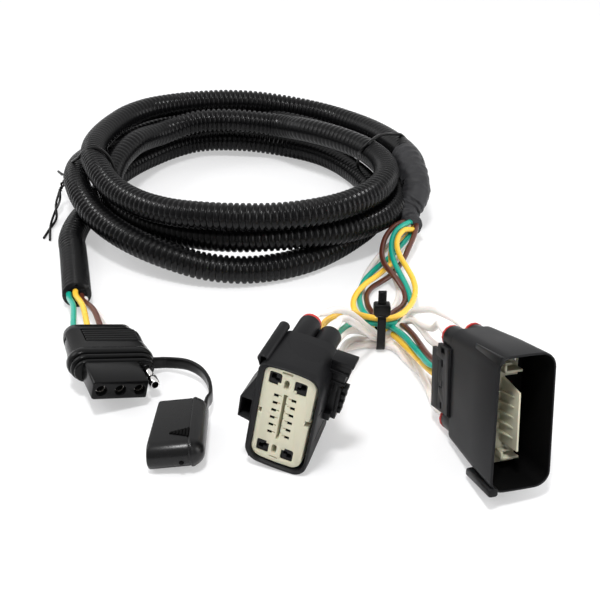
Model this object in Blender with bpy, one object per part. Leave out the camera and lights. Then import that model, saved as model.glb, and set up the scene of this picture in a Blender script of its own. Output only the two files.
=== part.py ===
"""Vehicle tow wiring harness: a flat four-way plug, a corrugated loom in loose turns and two sixteen-way connectors.

Sizes are in millimetres and become metres as each mesh is made. +X runs across the front, +Y away from it, +Z up,
and the harness lies on z = 0. Each connector has a frame of its own: x across it, y from its mating face to its
rear, z up its tall side. Everything hangs from one empty that puts the origin under the middle of the connectors.
"""

import math

import bmesh
import bpy
from mathutils import Matrix, Vector

MM = 0.001
CLEAR = 0.3  # between pieces that touch
ORIGIN = (-6.2, -1.37)  # the layout's point that becomes the origin

# Where the four connector pieces stand in the layout, and their yaw, pitch and roll in degrees
PLUG_LEFT = 81.4
PLUG_BACK = 4.1
PLUG_UP = 11.3
PLUG_TURN = (24.0, 0.0, 14.0)
CAP_LEFT = 58.7
CAP_FRONT = 33.2
CAP_UP = 1.1
CAP_TURN = (1.0, 0.0, -6.0)
F_LEFT = 23.0
F_FRONT = 35.8
F_UP = 4.35
F_TURN = (-20.0, 2.0, 9.5)
M_RIGHT = 81.9
M_FRONT = 67.3
M_UP = 12.2
M_TURN = (20.0, -15.0, 5.0)

# Flat four-way plug
PITCH = 9.4
FIRST_SOCKET = -14.1
SOCKET_BORE = 5.2
SOCKET_DEPTH = 13.0
TERMINAL_WALL = 0.6
TERMINAL_LENGTH = 9.0
BLOCK_LEFT = 4.5  # from the first socket to the block's side
BLOCK_RIGHT = 4.4
BLOCK_HALF_HEIGHT = 4.7
BLOCK_LENGTH = 17.5
BOOT_LENGTH = 32.5
BOOT_LEFT = 6.0  # from the block's side to the boot's
BOOT_RIGHT = 9.3
BOOT_HALF_HEIGHT = 6.0
BOOT_TAPER = 7.2
BOOT_SHOULDER = 9.0
GRIP_START = 6.0
GRIP_STEP = 2.6
GRIP_GROOVE = 1.1
PIN_GAP = 6.2  # from the block's side to the bullet pin
PIN_RADIUS = 2.0
PIN_REACH = 18.5
PIN_ROOT = 6.0
PLUG_WIRE = 2.6
PLUG_WIRE_SPACING = 6.0

# Dust cap: collar round the plug, strap and cap
COLLAR_WALL = 2.2
COLLAR_LENGTH = 9.0
COLLAR_LIP = 1.8  # the part of it in front of the boot
STRAP_WIDTH = 6.4
STRAP_THICK = 2.0
CAP_LENGTH = 42.0
CAP_NEAR = 14.5  # from the cap's frame to its near end
CAP_HEIGHT = 13.4
CAP_REACH = 16.5  # from the cap's frame to its closed end
CAP_DEPTH = 22.3
CAP_WALL = 1.7
CAP_FLOOR = 4.5
CAP_RIM = 1.0

# Loom, tape and ties
LOOM = 16.0
COIL_CENTRE = (-40.0, 228.0)
COIL_INNER = 72.0
COIL_OUTER = 112.0
COIL_SHOULDER = 4.5  # how much narrower its upper turns are
COIL_HEIGHT = 46.0
TAPE = 17.0
TAPE_END = 13.0
TIE_WIRE = 1.2

# Junction wires and the zip tie round them
WIRE = 2.3
ZIP_X = 43.3
ZIP_Y = 57.1
ZIP_DEPTH = 11.0
ZIP_HEIGHT = 14.0
ZIP_WIDTH = 3.6
ZIP_THICK = 1.1

# Both sixteen-way connectors
WAYS = 6
WAY_PITCH = 4.2
WAY_SIZE = 1.9
WAY_DEPTH = 12.0
BIG_WAY = 5.4
TUBE_RADIUS = 5.2
TUBE_BORE = 3.7
SEAL_FLANGE = 1.2
SEAL_REACH = 5.0
MAT_MARGIN = 2.6
MAT_THICK = 3.2
TERMINAL_SIZE = 4.7
TERMINAL_LENGTH_LARGE = 15.0
BLADE_THICK = 0.8
BLADE_WIDTH = 2.8

# Female connector
F_WIDTH = 25.8
F_HEIGHT = 51.3
F_DEPTH = 29.0
F_CORNER = 5.0
F_SIDE_WALL = 2.2
F_TOP_WALL = 1.3
F_BOTTOM_WALL = 3.3
F_INSERT_DEPTH = 20.0
F_INSERT_SET = 0.8
F_TUBE = 15.5
F_BIG_LEFT = 7.4  # from the shell's sides, top and bottom to the big ways
F_BIG_RIGHT = 7.6
F_BIG_TOP = 5.9
F_BIG_LOW = 7.9
F_BIG_LEAN = 0.2  # how far the lower two sit to the right
F_COLUMN_LEFT = 4.0  # from the middle to the columns of small ways
F_COLUMN_RIGHT = 4.1
F_ROWS_UP = 1.45  # from the shell's middle to the rows' middle
F_BIG = ((F_BIG_LEFT, F_HEIGHT - F_BIG_TOP), (F_WIDTH - F_BIG_RIGHT, F_HEIGHT - F_BIG_TOP),
         (F_BIG_LEFT + F_BIG_LEAN, F_BIG_LOW), (F_WIDTH - F_BIG_RIGHT + F_BIG_LEAN, F_BIG_LOW))
F_COLUMNS = (F_WIDTH / 2 - F_COLUMN_LEFT, F_WIDTH / 2 + F_COLUMN_RIGHT)
F_FIRST_ROW = F_HEIGHT / 2 + F_ROWS_UP - WAY_PITCH * (WAYS - 1) / 2
BIG_WAY_DEPTH = 17.2
SLOT_WIDTH = 1.6
SLOT_DEPTH = 8.2
NOTCH_WIDTH = 1.8
NOTCH_HEIGHT = 3.4
NOTCH_DEPTH = 6.2
RAIL_WIDTH = 3.0
RAIL_HEIGHT = 7.6
RAIL_PROUD = 1.7
RAIL_START = 3.5
RAIL_OVERHANG = 3.0
LATCH_WIDTH = 7.0
LATCH_HEIGHT = 20.5
LATCH_DROP = 28.8  # from the shell's top to the latch box's floor
LATCH_START = 0.6
LATCH_DEPTH = 15.4
RETAINER_WIDTH = 8.2
RETAINER_HEIGHT = 30.6
RETAINER_DROP = 0.7
RETAINER_DEPTH = 8.0
RETAINER_BACK = 2.0

# Male connector
M_WIDTH = 24.4
M_HEIGHT = 56.0
M_DEPTH = 46.0
M_WALL = 1.7
M_CORNER = 5.0
M_TAPER = 2.0
M_SHROUD = 20.0
M_INSERT_DEPTH = 4.0
M_TUBE = 8.5
M_TUBE_ROOT = 12.0  # how far the upper tubes reach into the narrowing body
M_BIG_LEFT = 6.0
M_BIG_RIGHT = 7.6
M_BIG_TOP = 7.4
M_BIG_LOW = 9.2
M_BIG_RISE = 0.6  # how far the last one sits above its neighbour
M_COLUMN_GAP = 8.4
M_ROWS_UP = 0.5
M_BIG = ((M_BIG_LEFT, M_HEIGHT - M_BIG_TOP), (M_WIDTH - M_BIG_RIGHT, M_HEIGHT - M_BIG_TOP),
         (M_BIG_LEFT, M_BIG_LOW), (M_WIDTH - M_BIG_RIGHT, M_BIG_LOW + M_BIG_RISE))
M_COLUMNS = (M_WIDTH / 2 - M_COLUMN_GAP / 2, M_WIDTH / 2 + M_COLUMN_GAP / 2)
M_FIRST_ROW = M_HEIGHT / 2 + M_ROWS_UP - WAY_PITCH * (WAYS - 1) / 2
BLADE_REACH = 11.0
BLADE_ROOT = 4.0
TONGUE_THICK = 2.2
TONGUE_REACH = 14.0
TONGUE_BELOW = 6.0  # from the first row to the tongue's foot; its head is level with the last row
TONGUE_RIB = 8.0
KEY_WIDTH = 2.6
KEY_HEIGHT = 4.0
KEY_PROUD = 0.6
KEY_START = 2.0
FOOT_WIDTH = 4.0
FOOT_HEIGHT = 5.2
FOOT_PROUD = 2.2
PIN_SIZE = 0.7
PIN_LENGTH = 9.0
CLIP_THICK = 1.7
CLIP_REACH = 16.0
CLIP_HEIGHT = 27.0
CLIP_UP = 1.0  # from the housing's middle to the plate's
CLIP_LIP = 3.6
CLIP_SLOT = 2.0

# Points that each wire passes through between its two ends, chosen by eye
ROUTES = {
    "wire_brown_front": (
        (67.3, 174.5, 18.6), (63.8, 169.3, 15.0), (57.2, 166.9, 11.3), (52.7, 160.9, 8.5),
        (50.2, 153.5, 6.7), (49.1, 145.6, 5.6), (49.9, 137.6, 5.1), (51.6, 129.8, 5.0),
        (54.0, 122.1, 4.9), (56.4, 114.4, 5.0), (57.8, 106.5, 5.2), (57.9, 98.5, 5.8),
        (55.6, 90.9, 7.3), (52.3, 83.7, 8.6), (50.3, 76.0, 8.1), (49.4, 68.1, 6.7), (47.8, 60.4, 5.9),
        (40.5, 60.3, 5.9), (36.8, 67.0, 5.1), (32.0, 71.0, 6.5), (28.9, 64.2, 9.5), (26.6, 57.0, 12.4),
        (23.8, 49.7, 14.6), (21.1, 42.4, 16.7), (18.1, 35.1, 18.5), (15.0, 27.9, 20.2),
        (11.7, 20.7, 21.9), (8.5, 13.5, 23.5), (5.2, 6.3, 25.0), (1.9, -0.9, 26.6)),
    "wire_green_front": (
        (67.3, 174.5, 15.3), (64.3, 171.4, 11.1), (58.4, 167.4, 8.1), (55.7, 160.4, 6.0),
        (55.3, 152.5, 5.2), (55.7, 144.7, 5.0), (56.5, 136.8, 5.0), (57.9, 129.0, 4.9),
        (59.5, 121.3, 4.8), (60.7, 113.5, 4.9), (61.2, 105.6, 5.0), (60.9, 97.8, 5.2),
        (59.3, 90.1, 6.0), (56.6, 82.9, 7.3), (53.5, 75.7, 8.6), (51.1, 68.3, 9.3), (48.3, 61.0, 9.1),
        (41.0, 60.1, 9.5), (35.3, 63.7, 10.8), (30.8, 68.4, 10.9), (28.2, 61.7, 13.9),
        (26.4, 54.6, 17.0), (24.2, 47.5, 19.6), (21.7, 40.3, 21.9), (19.2, 33.1, 24.0),
        (16.6, 25.9, 25.9), (14.1, 18.6, 27.8), (11.4, 11.4, 29.7), (8.8, 4.2, 31.6),
        (6.2, -3.0, 33.5)),
    "wire_yellow_front": (
        (73.0, 174.5, 18.6), (71.0, 167.5, 15.5), (66.6, 161.4, 12.7), (60.8, 158.5, 8.1),
        (58.8, 151.3, 6.0), (59.5, 143.2, 5.8), (60.8, 135.3, 5.6), (62.8, 127.5, 5.3),
        (64.3, 119.6, 5.2), (65.0, 111.6, 5.4), (64.5, 103.6, 6.1), (63.1, 95.7, 7.4),
        (61.0, 88.1, 8.5), (57.9, 80.7, 9.9), (54.1, 73.8, 11.5), (52.4, 66.1, 12.5),
        (51.9, 58.2, 12.1), (46.5, 53.5, 12.4), (38.5, 53.6, 12.1), (33.7, 59.1, 11.9),
        (31.5, 66.2, 13.7), (27.8, 60.9, 17.8), (25.2, 54.0, 21.1), (22.6, 47.3, 24.8),
        (20.3, 40.6, 28.9), (18.4, 33.3, 31.8), (16.8, 25.6, 33.7), (15.2, 17.9, 35.3),
        (13.7, 10.0, 36.7), (12.1, 2.2, 38.0), (10.6, -5.6, 39.3)),
    "wire_brown_rear": (
        (73.0, 174.5, 15.3), (70.9, 167.4, 12.0), (69.1, 160.8, 7.3), (65.9, 154.1, 3.5),
        (62.3, 146.8, 1.7), (58.5, 139.2, 1.6), (54.6, 131.6, 1.7), (50.5, 124.8, 1.7),
        (45.7, 118.5, 1.6), (41.1, 111.9, 1.7), (37.9, 104.7, 2.1), (36.3, 97.0, 3.1),
        (36.6, 89.8, 4.8), (37.4, 82.6, 6.5), (37.8, 75.2, 7.3), (37.6, 67.7, 7.9), (37.3, 60.1, 7.8),
        (41.1, 56.0, 9.3), (48.7, 57.3, 9.6), (53.8, 62.9, 9.9), (57.7, 56.4, 12.1),
        (59.5, 48.7, 13.3), (60.0, 40.9, 14.8), (59.6, 33.4, 17.2), (59.4, 26.0, 20.2),
        (60.1, 18.6, 23.1), (62.2, 11.4, 25.8), (65.4, 4.5, 28.2), (69.1, -2.2, 30.5)),
    "wire_green_rear": (
        (70.2, 174.5, 13.7), (67.4, 167.7, 10.2), (62.2, 161.8, 7.6), (58.0, 156.7, 2.6),
        (53.7, 149.3, 1.6), (49.7, 142.5, 1.8), (45.2, 136.0, 1.8), (40.3, 129.8, 1.8),
        (36.9, 122.7, 1.7), (35.2, 115.6, 1.6), (34.0, 108.4, 2.0), (33.2, 101.1, 2.9),
        (33.0, 93.7, 4.1), (33.7, 86.4, 5.8), (34.7, 79.0, 7.5), (34.8, 71.4, 8.3), (34.4, 63.7, 8.0),
        (35.4, 56.1, 8.8), (41.2, 53.3, 9.3), (49.0, 53.6, 9.1), (52.5, 59.5, 6.8), (53.9, 54.1, 8.6),
        (55.4, 46.7, 11.1), (56.4, 39.3, 13.8), (56.2, 31.9, 16.5), (56.2, 24.4, 19.1),
        (57.4, 17.0, 21.5), (60.9, 10.2, 23.1), (65.8, 4.1, 24.2), (71.2, -1.6, 25.2)),
    "wire_yellow_rear": (
        (70.2, 174.5, 20.3), (68.1, 167.2, 17.0), (64.2, 160.2, 14.4), (60.7, 153.1, 11.7),
        (57.5, 145.3, 10.2), (54.8, 137.2, 10.0), (51.6, 129.3, 9.9), (46.6, 123.6, 7.6),
        (40.4, 119.5, 4.7), (34.7, 113.9, 4.5), (30.9, 107.6, 3.5), (29.3, 100.3, 3.3),
        (29.2, 92.8, 3.5), (31.1, 85.4, 3.5), (32.3, 77.8, 3.3), (33.0, 70.1, 3.1), (34.9, 62.9, 5.4),
        (36.9, 55.4, 6.3), (42.4, 53.3, 6.5), (50.2, 53.7, 6.2), (51.0, 53.9, 6.0), (52.9, 46.3, 7.7),
        (54.6, 38.8, 9.5), (55.5, 31.1, 11.6), (56.6, 23.5, 13.7), (58.9, 16.1, 15.5),
        (62.1, 8.9, 17.0), (65.6, 1.8, 18.4), (69.2, -5.2, 19.7)),
    "wire_white_1": (
        (10.5, 13.2, 47.6), (12.8, 19.6, 43.7), (15.2, 26.0, 39.9), (17.8, 32.4, 36.3),
        (20.6, 38.9, 33.0), (23.6, 45.2, 29.5), (27.1, 50.5, 25.0), (31.1, 54.0, 19.4),
        (36.4, 56.6, 14.4), (43.2, 57.4, 12.6), (50.5, 57.6, 14.7), (56.9, 56.8, 16.7),
        (59.0, 49.8, 19.3), (60.4, 42.6, 22.1), (61.6, 35.6, 25.4), (62.7, 28.9, 29.1),
        (63.7, 22.2, 33.1), (64.5, 15.8, 37.5), (64.8, 10.2, 42.9)),
    "wire_white_2": (
        (20.4, 9.2, 46.0), (21.5, 16.1, 42.2), (22.7, 23.0, 38.4), (24.0, 29.7, 34.5),
        (25.8, 36.3, 30.5), (28.4, 42.7, 26.6), (31.5, 49.0, 22.8), (35.1, 55.1, 19.3),
        (37.8, 60.6, 14.3), (43.0, 60.6, 12.5), (50.0, 60.7, 14.5), (53.9, 58.2, 20.6),
        (58.0, 53.1, 25.0), (61.8, 47.5, 29.1), (64.6, 41.1, 32.8), (66.2, 34.1, 36.1),
        (67.8, 27.0, 39.2), (71.2, 20.2, 41.1), (76.1, 14.0, 41.9)),
    "wire_white_3": (
        (15.5, 13.5, 9.4), (17.2, 21.2, 8.3), (18.9, 28.9, 7.1), (20.6, 36.6, 6.0), (22.5, 44.2, 5.1),
        (24.7, 51.8, 4.3), (29.6, 57.2, 2.2), (37.5, 56.6, 2.3), (45.5, 57.0, 2.7), (51.9, 53.8, 2.2),
        (55.3, 46.7, 2.3), (58.1, 39.2, 2.8), (59.9, 31.6, 4.2), (61.1, 23.7, 4.3), (62.4, 15.9, 3.2),
        (63.5, 8.1, 2.1), (64.7, 0.2, 1.6)),
    "wire_white_4": (
        (5.7, 16.8, 10.9), (8.7, 24.1, 8.8), (11.8, 31.2, 6.7), (15.1, 38.3, 4.7), (19.0, 45.2, 2.8),
        (24.7, 50.7, 1.8), (32.4, 53.0, 2.3), (40.3, 54.1, 2.8), (48.1, 53.2, 2.8), (51.0, 45.8, 2.3),
        (54.5, 38.5, 2.0), (58.3, 31.4, 1.6), (62.5, 24.5, 1.6), (66.8, 17.6, 1.6), (71.1, 10.7, 1.6),
        (75.2, 3.8, 1.6)),
    "wire_white_5": (
        (10.0, -4.4, 30.9), (12.1, 3.3, 29.0), (14.3, 10.9, 27.0), (16.5, 18.5, 25.0),
        (18.7, 26.1, 22.9), (21.0, 33.7, 20.8), (23.4, 41.2, 18.5), (26.1, 48.4, 15.9),
        (29.4, 53.5, 10.6), (32.5, 58.2, 4.7), (39.1, 60.8, 2.5), (47.3, 60.3, 2.9), (53.7, 64.1, 4.8),
        (55.8, 57.8, 8.9), (56.3, 50.5, 12.7), (57.7, 43.3, 16.3), (60.1, 36.2, 19.4),
        (63.2, 29.0, 21.6), (66.4, 21.8, 24.0), (69.6, 14.7, 26.5), (72.9, 7.7, 29.1),
        (76.1, 0.6, 31.6)),
}

BLACK = (0.012, 0.012, 0.013)
CREAM = (0.60, 0.57, 0.37)
RED = (0.55, 0.02, 0.015)
METAL = (0.62, 0.61, 0.60)
COLOURS = {"brown": (0.13, 0.035, 0.018), "green": (0.012, 0.24, 0.17), "yellow": (0.85, 0.55, 0.02),
           "white": (0.82, 0.77, 0.70)}


def clear_scene():
    for obj in list(bpy.data.objects):
        bpy.data.objects.remove(obj, do_unlink=True)


def frame(name, location, rotation=(0.0, 0.0, 0.0), parent=None):
    """An empty at a point in mm, turned by yaw, pitch and roll in degrees."""
    empty = bpy.data.objects.new(name, None)
    bpy.context.scene.collection.objects.link(empty)
    yaw, pitch, roll = (math.radians(angle) for angle in rotation)
    empty.rotation_mode = "YXZ"
    empty.rotation_euler = (pitch, roll, yaw)
    empty.location = Vector(location) * MM
    empty.parent = parent
    return empty


def placed(empty, point):
    """A point of the empty's frame as a point of the layout, both in mm."""
    turn = empty.rotation_euler.to_matrix()
    return turn @ Vector(point) + empty.location / MM


def surface(name, colour, roughness, metallic=0.0):
    material = bpy.data.materials.new(name)
    material.use_nodes = True
    shader = material.node_tree.nodes["Principled BSDF"]
    shader.inputs["Base Color"].default_value = (*colour, 1.0)
    shader.inputs["Roughness"].default_value = roughness
    shader.inputs["Metallic"].default_value = metallic
    return material


# Outlines and solids

def rounded(x0, x1, z0, z1, radius, steps=3):
    """A rectangle with round corners, as (x, z) pairs."""
    points = []
    corners = ((x1 - radius, z1 - radius, 0), (x0 + radius, z1 - radius, 90),
               (x0 + radius, z0 + radius, 180), (x1 - radius, z0 + radius, 270))
    for cx, cz, start in corners:
        for i in range(steps + 1):
            angle = math.radians(start + 90 * i / steps)
            points.append((cx + radius * math.cos(angle), cz + radius * math.sin(angle)))
    return points


def disc(cx, cz, radius, sides=16):
    return [(cx + radius * math.cos(math.tau * i / sides), cz + radius * math.sin(math.tau * i / sides))
            for i in range(sides)]


def at(outline, y):
    return [(x, y, z) for x, z in outline]


def skin(rings, closed=False):
    """A solid through rings of points in mm: capped at both ends, or closed on itself."""
    mesh = bmesh.new()
    rows = [[mesh.verts.new(Vector(point) * MM) for point in ring] for ring in rings]
    following = rows[1:] + rows[:1] if closed else rows[1:]
    for row, after in zip(rows, following):
        for i in range(len(row)):
            j = (i + 1) % len(row)
            mesh.faces.new((row[i], row[j], after[j], after[i]))
    if not closed:
        mesh.faces.new(rows[0])
        mesh.faces.new(rows[-1])
    bmesh.ops.recalc_face_normals(mesh, faces=mesh.faces)
    return mesh


def prism(outline, y0, y1):
    return skin([at(outline, y0), at(outline, y1)])


def box(x0, x1, y0, y1, z0, z1):
    return prism([(x0, z0), (x1, z0), (x1, z1), (x0, z1)], y0, y1)


def upright(outline, z0, z1):
    """A prism that rises along z from an outline of (x, y) pairs."""
    return skin([[(x, y, z) for x, y in outline] for z in (z0, z1)])


def turned(profile, cx, cz, sides=16):
    """A ring about a line along y at (cx, cz), from a closed profile of (radius, y) pairs."""
    rings = []
    for i in range(sides):
        angle = math.tau * i / sides
        rings.append([(cx + r * math.cos(angle), y, cz + r * math.sin(angle)) for r, y in profile])
    return skin(rings, closed=True)


def several(meshes):
    """Separate bodies in one mesh, for a cutter."""
    whole = bpy.data.meshes.new("several")
    joined = bmesh.new()
    for mesh in meshes:
        mesh.to_mesh(whole)
        mesh.free()
        joined.from_mesh(whole)
    bpy.data.meshes.remove(whole)
    return joined


def piece(name, mesh, material, parent):
    data = bpy.data.meshes.new(name)
    mesh.to_mesh(data)
    mesh.free()
    obj = bpy.data.objects.new(name, data)
    bpy.context.scene.collection.objects.link(obj)
    obj.parent = parent
    if material is not None:
        data.materials.append(material)
        data.shade_smooth()
        data.set_sharp_from_angle(angle=math.radians(35))
    return obj


def combine(obj, operation, mesh):
    """Adds a Boolean with a hidden operand that sits in the same frame."""
    operand = piece(f"{obj.name}_{operation.lower()}_{len(obj.modifiers)}", mesh, None, obj.parent)
    operand.hide_render = True
    operand.display_type = "WIRE"
    step = obj.modifiers.new(operand.name, "BOOLEAN")
    step.operation = operation
    step.object = operand
    return obj


def join(obj, *meshes):
    for mesh in meshes:
        combine(obj, "UNION", mesh)


def cut(obj, *meshes):
    for mesh in meshes:
        combine(obj, "DIFFERENCE", mesh)


# Cords

def smooth(points, steps=12):
    """A centripetal curve through the points."""
    pts = [Vector(p) for p in points]
    pts = [2 * pts[0] - pts[1]] + pts + [2 * pts[-1] - pts[-2]]
    line = []
    for p0, p1, p2, p3 in zip(pts, pts[1:], pts[2:], pts[3:]):
        t1 = (p1 - p0).length ** 0.5
        t2 = t1 + (p2 - p1).length ** 0.5
        t3 = t2 + (p3 - p2).length ** 0.5
        for i in range(steps):
            t = t1 + (t2 - t1) * i / steps
            a1 = p0 * (t1 - t) / t1 + p1 * t / t1
            a2 = p1 * (t2 - t) / (t2 - t1) + p2 * (t - t1) / (t2 - t1)
            a3 = p2 * (t3 - t) / (t3 - t2) + p3 * (t - t2) / (t3 - t2)
            b1 = a1 * (t2 - t) / t2 + a2 * t / t2
            b2 = a2 * (t3 - t) / (t3 - t1) + a3 * (t - t1) / (t3 - t1)
            line.append(b1 * (t2 - t) / (t2 - t1) + b2 * (t - t1) / (t2 - t1))
    line.append(pts[-2])
    return line


def spaced(line, gap):
    """Points along a line at equal distances near the gap."""
    runs = [0.0]
    for a, b in zip(line, line[1:]):
        runs.append(runs[-1] + (b - a).length)
    count = max(2, round(runs[-1] / gap))
    points, k = [], 0
    for i in range(count + 1):
        goal = runs[-1] * i / count
        while k < len(runs) - 2 and runs[k + 1] < goal:
            k += 1
        span = runs[k + 1] - runs[k]
        points.append(line[k].lerp(line[k + 1], (goal - runs[k]) / span if span else 0.0))
    return points


def cord(name, points, diameter, material, parent, gap=3.0, taper=None, sides=2):
    """A tube on a POLY spline; taper is the end's share of the diameter."""
    line = spaced(smooth(points), gap * diameter)
    curve = bpy.data.curves.new(name, "CURVE")
    curve.dimensions = "3D"
    curve.bevel_depth = diameter / 2 * MM
    curve.bevel_resolution = sides
    curve.use_fill_caps = True
    spline = curve.splines.new("POLY")
    spline.points.add(len(line) - 1)
    for i, (node, point) in enumerate(zip(spline.points, line)):
        node.co = (*(point * MM), 1.0)
        if taper:
            node.radius = 1.0 + (taper - 1.0) * max(0.0, i / (len(line) - 1) - 0.3) / 0.7
    curve.materials.append(material)
    obj = bpy.data.objects.new(name, curve)
    bpy.context.scene.collection.objects.link(obj)
    obj.parent = parent
    return obj


# Flat plug

def socket_xs():
    return [FIRST_SOCKET + PITCH * i for i in range(3)]


def block_sides():
    xs = socket_xs()
    return xs[0] - BLOCK_LEFT, xs[-1] + BLOCK_RIGHT


def boot_sides():
    left, right = block_sides()
    return left - BOOT_LEFT, right + BOOT_RIGHT


def boot_outline(grow=0.0, left_in=0.0, right_in=0.0, squat=0.0):
    left, right = boot_sides()
    height = BOOT_HALF_HEIGHT + grow - squat
    return rounded(left - grow + left_in, right + grow - right_in, -height, height,
                   min(height * 0.94, BOOT_HALF_HEIGHT * 0.9 + grow), 4)


def flat_plug(plug):
    left, right = block_sides()
    half = BLOCK_HALF_HEIGHT
    front = BLOCK_LENGTH
    rear = front + BOOT_LENGTH
    shoulder = front + COLLAR_LENGTH - COLLAR_LIP
    boot = skin([at(boot_outline(squat=0.3), front), at(boot_outline(), shoulder - 1.0),
                 at(boot_outline(left_in=0.6, right_in=1.8), shoulder + 1.0),
                 at(boot_outline(left_in=1.0, right_in=2.2), shoulder + BOOT_SHOULDER),
                 at(boot_outline(left_in=BOOT_TAPER * 0.75, right_in=BOOT_TAPER * 0.65), rear - 4.5),
                 at(boot_outline(left_in=BOOT_TAPER, right_in=BOOT_TAPER, squat=1.0), rear)])
    body = piece("flat_plug_body", boot, surface("glossy black rubber", BLACK, 0.28), plug)
    join(body, prism(rounded(left, right, -half, half, 1.6, 2), 0.0, front + 1.0))
    cut(body, several([prism(disc(x, 0.0, SOCKET_BORE / 2, 12), -1.0, SOCKET_DEPTH) for x in socket_xs()]))
    pin_x = right + PIN_GAP
    cut(body, prism(disc(pin_x, 0.0, PIN_RADIUS + CLEAR, 12), front - 1.0, front + PIN_ROOT + CLEAR))
    grip_left, grip_right = boot_sides()
    grooves = [box(grip_left + BOOT_TAPER + 3.0, grip_right - BOOT_TAPER + 1.0, y, y + GRIP_GROOVE,
                   BOOT_HALF_HEIGHT - 0.7, BOOT_HALF_HEIGHT + 1.0)
               for y in (rear - GRIP_START - GRIP_STEP * i for i in range(4))]
    cut(body, several(grooves))

    metal = surface("tinned terminal", METAL, 0.25, 1.0)
    outer = SOCKET_BORE / 2 - CLEAR
    for i, x in enumerate(socket_xs()):
        inner = outer - TERMINAL_WALL
        base = SOCKET_DEPTH - CLEAR
        sleeve = turned([(outer, base - TERMINAL_LENGTH), (outer, base), (inner, base),
                         (inner, base - TERMINAL_LENGTH)], x, 0.0, 12)
        piece(f"socket_terminal_{i + 1}", sleeve, metal, plug)

    r = PIN_RADIUS
    shape = [(r * 0.55, front - PIN_REACH), (r * 0.9, front - PIN_REACH + 0.6), (r, front - PIN_REACH + 3.0),
             (r * 0.6, front - PIN_REACH + 4.4), (r * 0.6, front - PIN_REACH + 7.0),
             (r * 0.9, front - PIN_REACH + 8.0), (r * 0.9, front + PIN_ROOT)]
    pin = skin([at(disc(pin_x, 0.0, radius, 12), y) for radius, y in shape])
    bullet = piece("bullet_pin", pin, surface("chrome", METAL, 0.12, 1.0), plug)
    cut(bullet, prism(disc(pin_x, 0.0, r * 0.4, 8), front - PIN_REACH - 1.0, front - PIN_REACH + 2.0))
    return rear


# Dust cap

def strap(plug, cap):
    """The flat strap that runs on edge from the collar to the cap's closed end."""
    side = boot_sides()[1] + COLLAR_WALL / 2
    start = placed(plug, (side - 0.1, BLOCK_LENGTH + COLLAR_LENGTH * 0.35, 0.4))
    out = placed(plug, (side + 5.0, BLOCK_LENGTH + COLLAR_LENGTH * 0.35, 0.6))
    end = placed(cap, (CAP_REACH - CAP_FLOOR / 2, CAP_LENGTH - CAP_NEAR - 5.5, CAP_HEIGHT / 2))
    route = [start, out, (-56.0, 28.6, 7.6), (-49.3, 23.2, 7.6), (-45.0, 16.3, 7.8), (-42.2, 8.8, 8.2),
             (-41.6, 0.8, 8.2), end + Vector((0.5, 6.5, 0.2)), end]
    line = spaced(smooth(route), 3.0)
    rings = []
    for i, point in enumerate(line):
        ahead = line[min(i + 1, len(line) - 1)] - line[max(i - 1, 0)]
        side = Vector((ahead.y, -ahead.x, 0.0)).normalized() * STRAP_THICK / 2
        up = Vector((0.0, 0.0, STRAP_WIDTH / 2))
        rings.append([point + side + up, point - side + up, point - side - up, point + side - up])
    return skin(rings)


def carried(mesh, empty):
    """Moves a mesh from an empty's frame to the layout's."""
    turn = empty.rotation_euler.to_matrix().to_4x4()
    bmesh.ops.transform(mesh, matrix=Matrix.Translation(empty.location) @ turn, verts=mesh.verts)
    return mesh


def cap_outline(grow=0.0):
    return rounded(-CAP_NEAR - grow, CAP_LENGTH - CAP_NEAR + grow, -grow, CAP_HEIGHT + grow,
                   CAP_HEIGHT / 2 + grow - 0.4, 5)


def across(outline, x0, x1):
    """A prism along x from an outline of (y, z) pairs."""
    return skin([[(x, y, z) for y, z in outline] for x in (x0, x1)])


def dust_cap(harness, plug, cap):
    start = BLOCK_LENGTH - COLLAR_LIP - CLEAR
    steps = ((0.0, -1.2), (0.28, -1.2), (0.3, -0.6), (0.58, -0.6), (0.6, 0.0), (1.0, 0.0))
    collar = skin([at(boot_outline(COLLAR_WALL + shrink), start + COLLAR_LENGTH * share)
                   for share, shrink in steps])
    obj = piece("dust_cap", carried(collar, plug), surface("gloss black moulding", BLACK, 0.2), harness)
    hollow = prism(boot_outline(CLEAR), start + COLLAR_LIP, start + COLLAR_LENGTH + 1.0)
    left, right = block_sides()
    window = prism(rounded(left - CLEAR, right + CLEAR, -BLOCK_HALF_HEIGHT - CLEAR, BLOCK_HALF_HEIGHT + CLEAR,
                           1.6, 2), start - 1.0, start + 3.0)
    pin = prism(disc(right + PIN_GAP, 0.0, PIN_RADIUS + CLEAR, 12), start - 1.0, start + 3.0)
    cut(obj, carried(hollow, plug), carried(window, plug), carried(pin, plug))
    join(obj, strap(plug, cap))
    mouth = CAP_REACH - CAP_DEPTH
    join(obj, carried(across(cap_outline(), mouth, CAP_REACH - 0.5), cap),
         carried(across(cap_outline(CAP_RIM), CAP_REACH - CAP_FLOOR, CAP_REACH), cap))
    cut(obj, carried(across(cap_outline(-CAP_WALL), mouth - 1.0, CAP_REACH - CAP_FLOOR), cap))
    return obj


# Loom, tape and ties

def coil(harness, material):
    """One turned ring with the outer shape of the loom's loose turns."""
    step = COIL_OUTER - COIL_SHOULDER
    profile = [(COIL_INNER, 0.0), (COIL_OUTER - 1.0, 0.0), (COIL_OUTER, 3.0), (COIL_OUTER, 13.0),
               (COIL_OUTER - 2.0, 17.0), (step, 20.0), (step, COIL_HEIGHT - 4.0), (step - 4.5, COIL_HEIGHT),
               (COIL_INNER + 6.0, COIL_HEIGHT), (COIL_INNER, COIL_HEIGHT - 4.0)]
    rings = []
    for i in range(56):
        angle = math.tau * i / 56
        rings.append([(r * math.cos(angle), r * math.sin(angle), z) for r, z in profile])
    obj = piece("loom_coil", skin(rings, closed=True), material, harness)
    obj.location = Vector((*COIL_CENTRE, 0.0)) * MM


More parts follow.
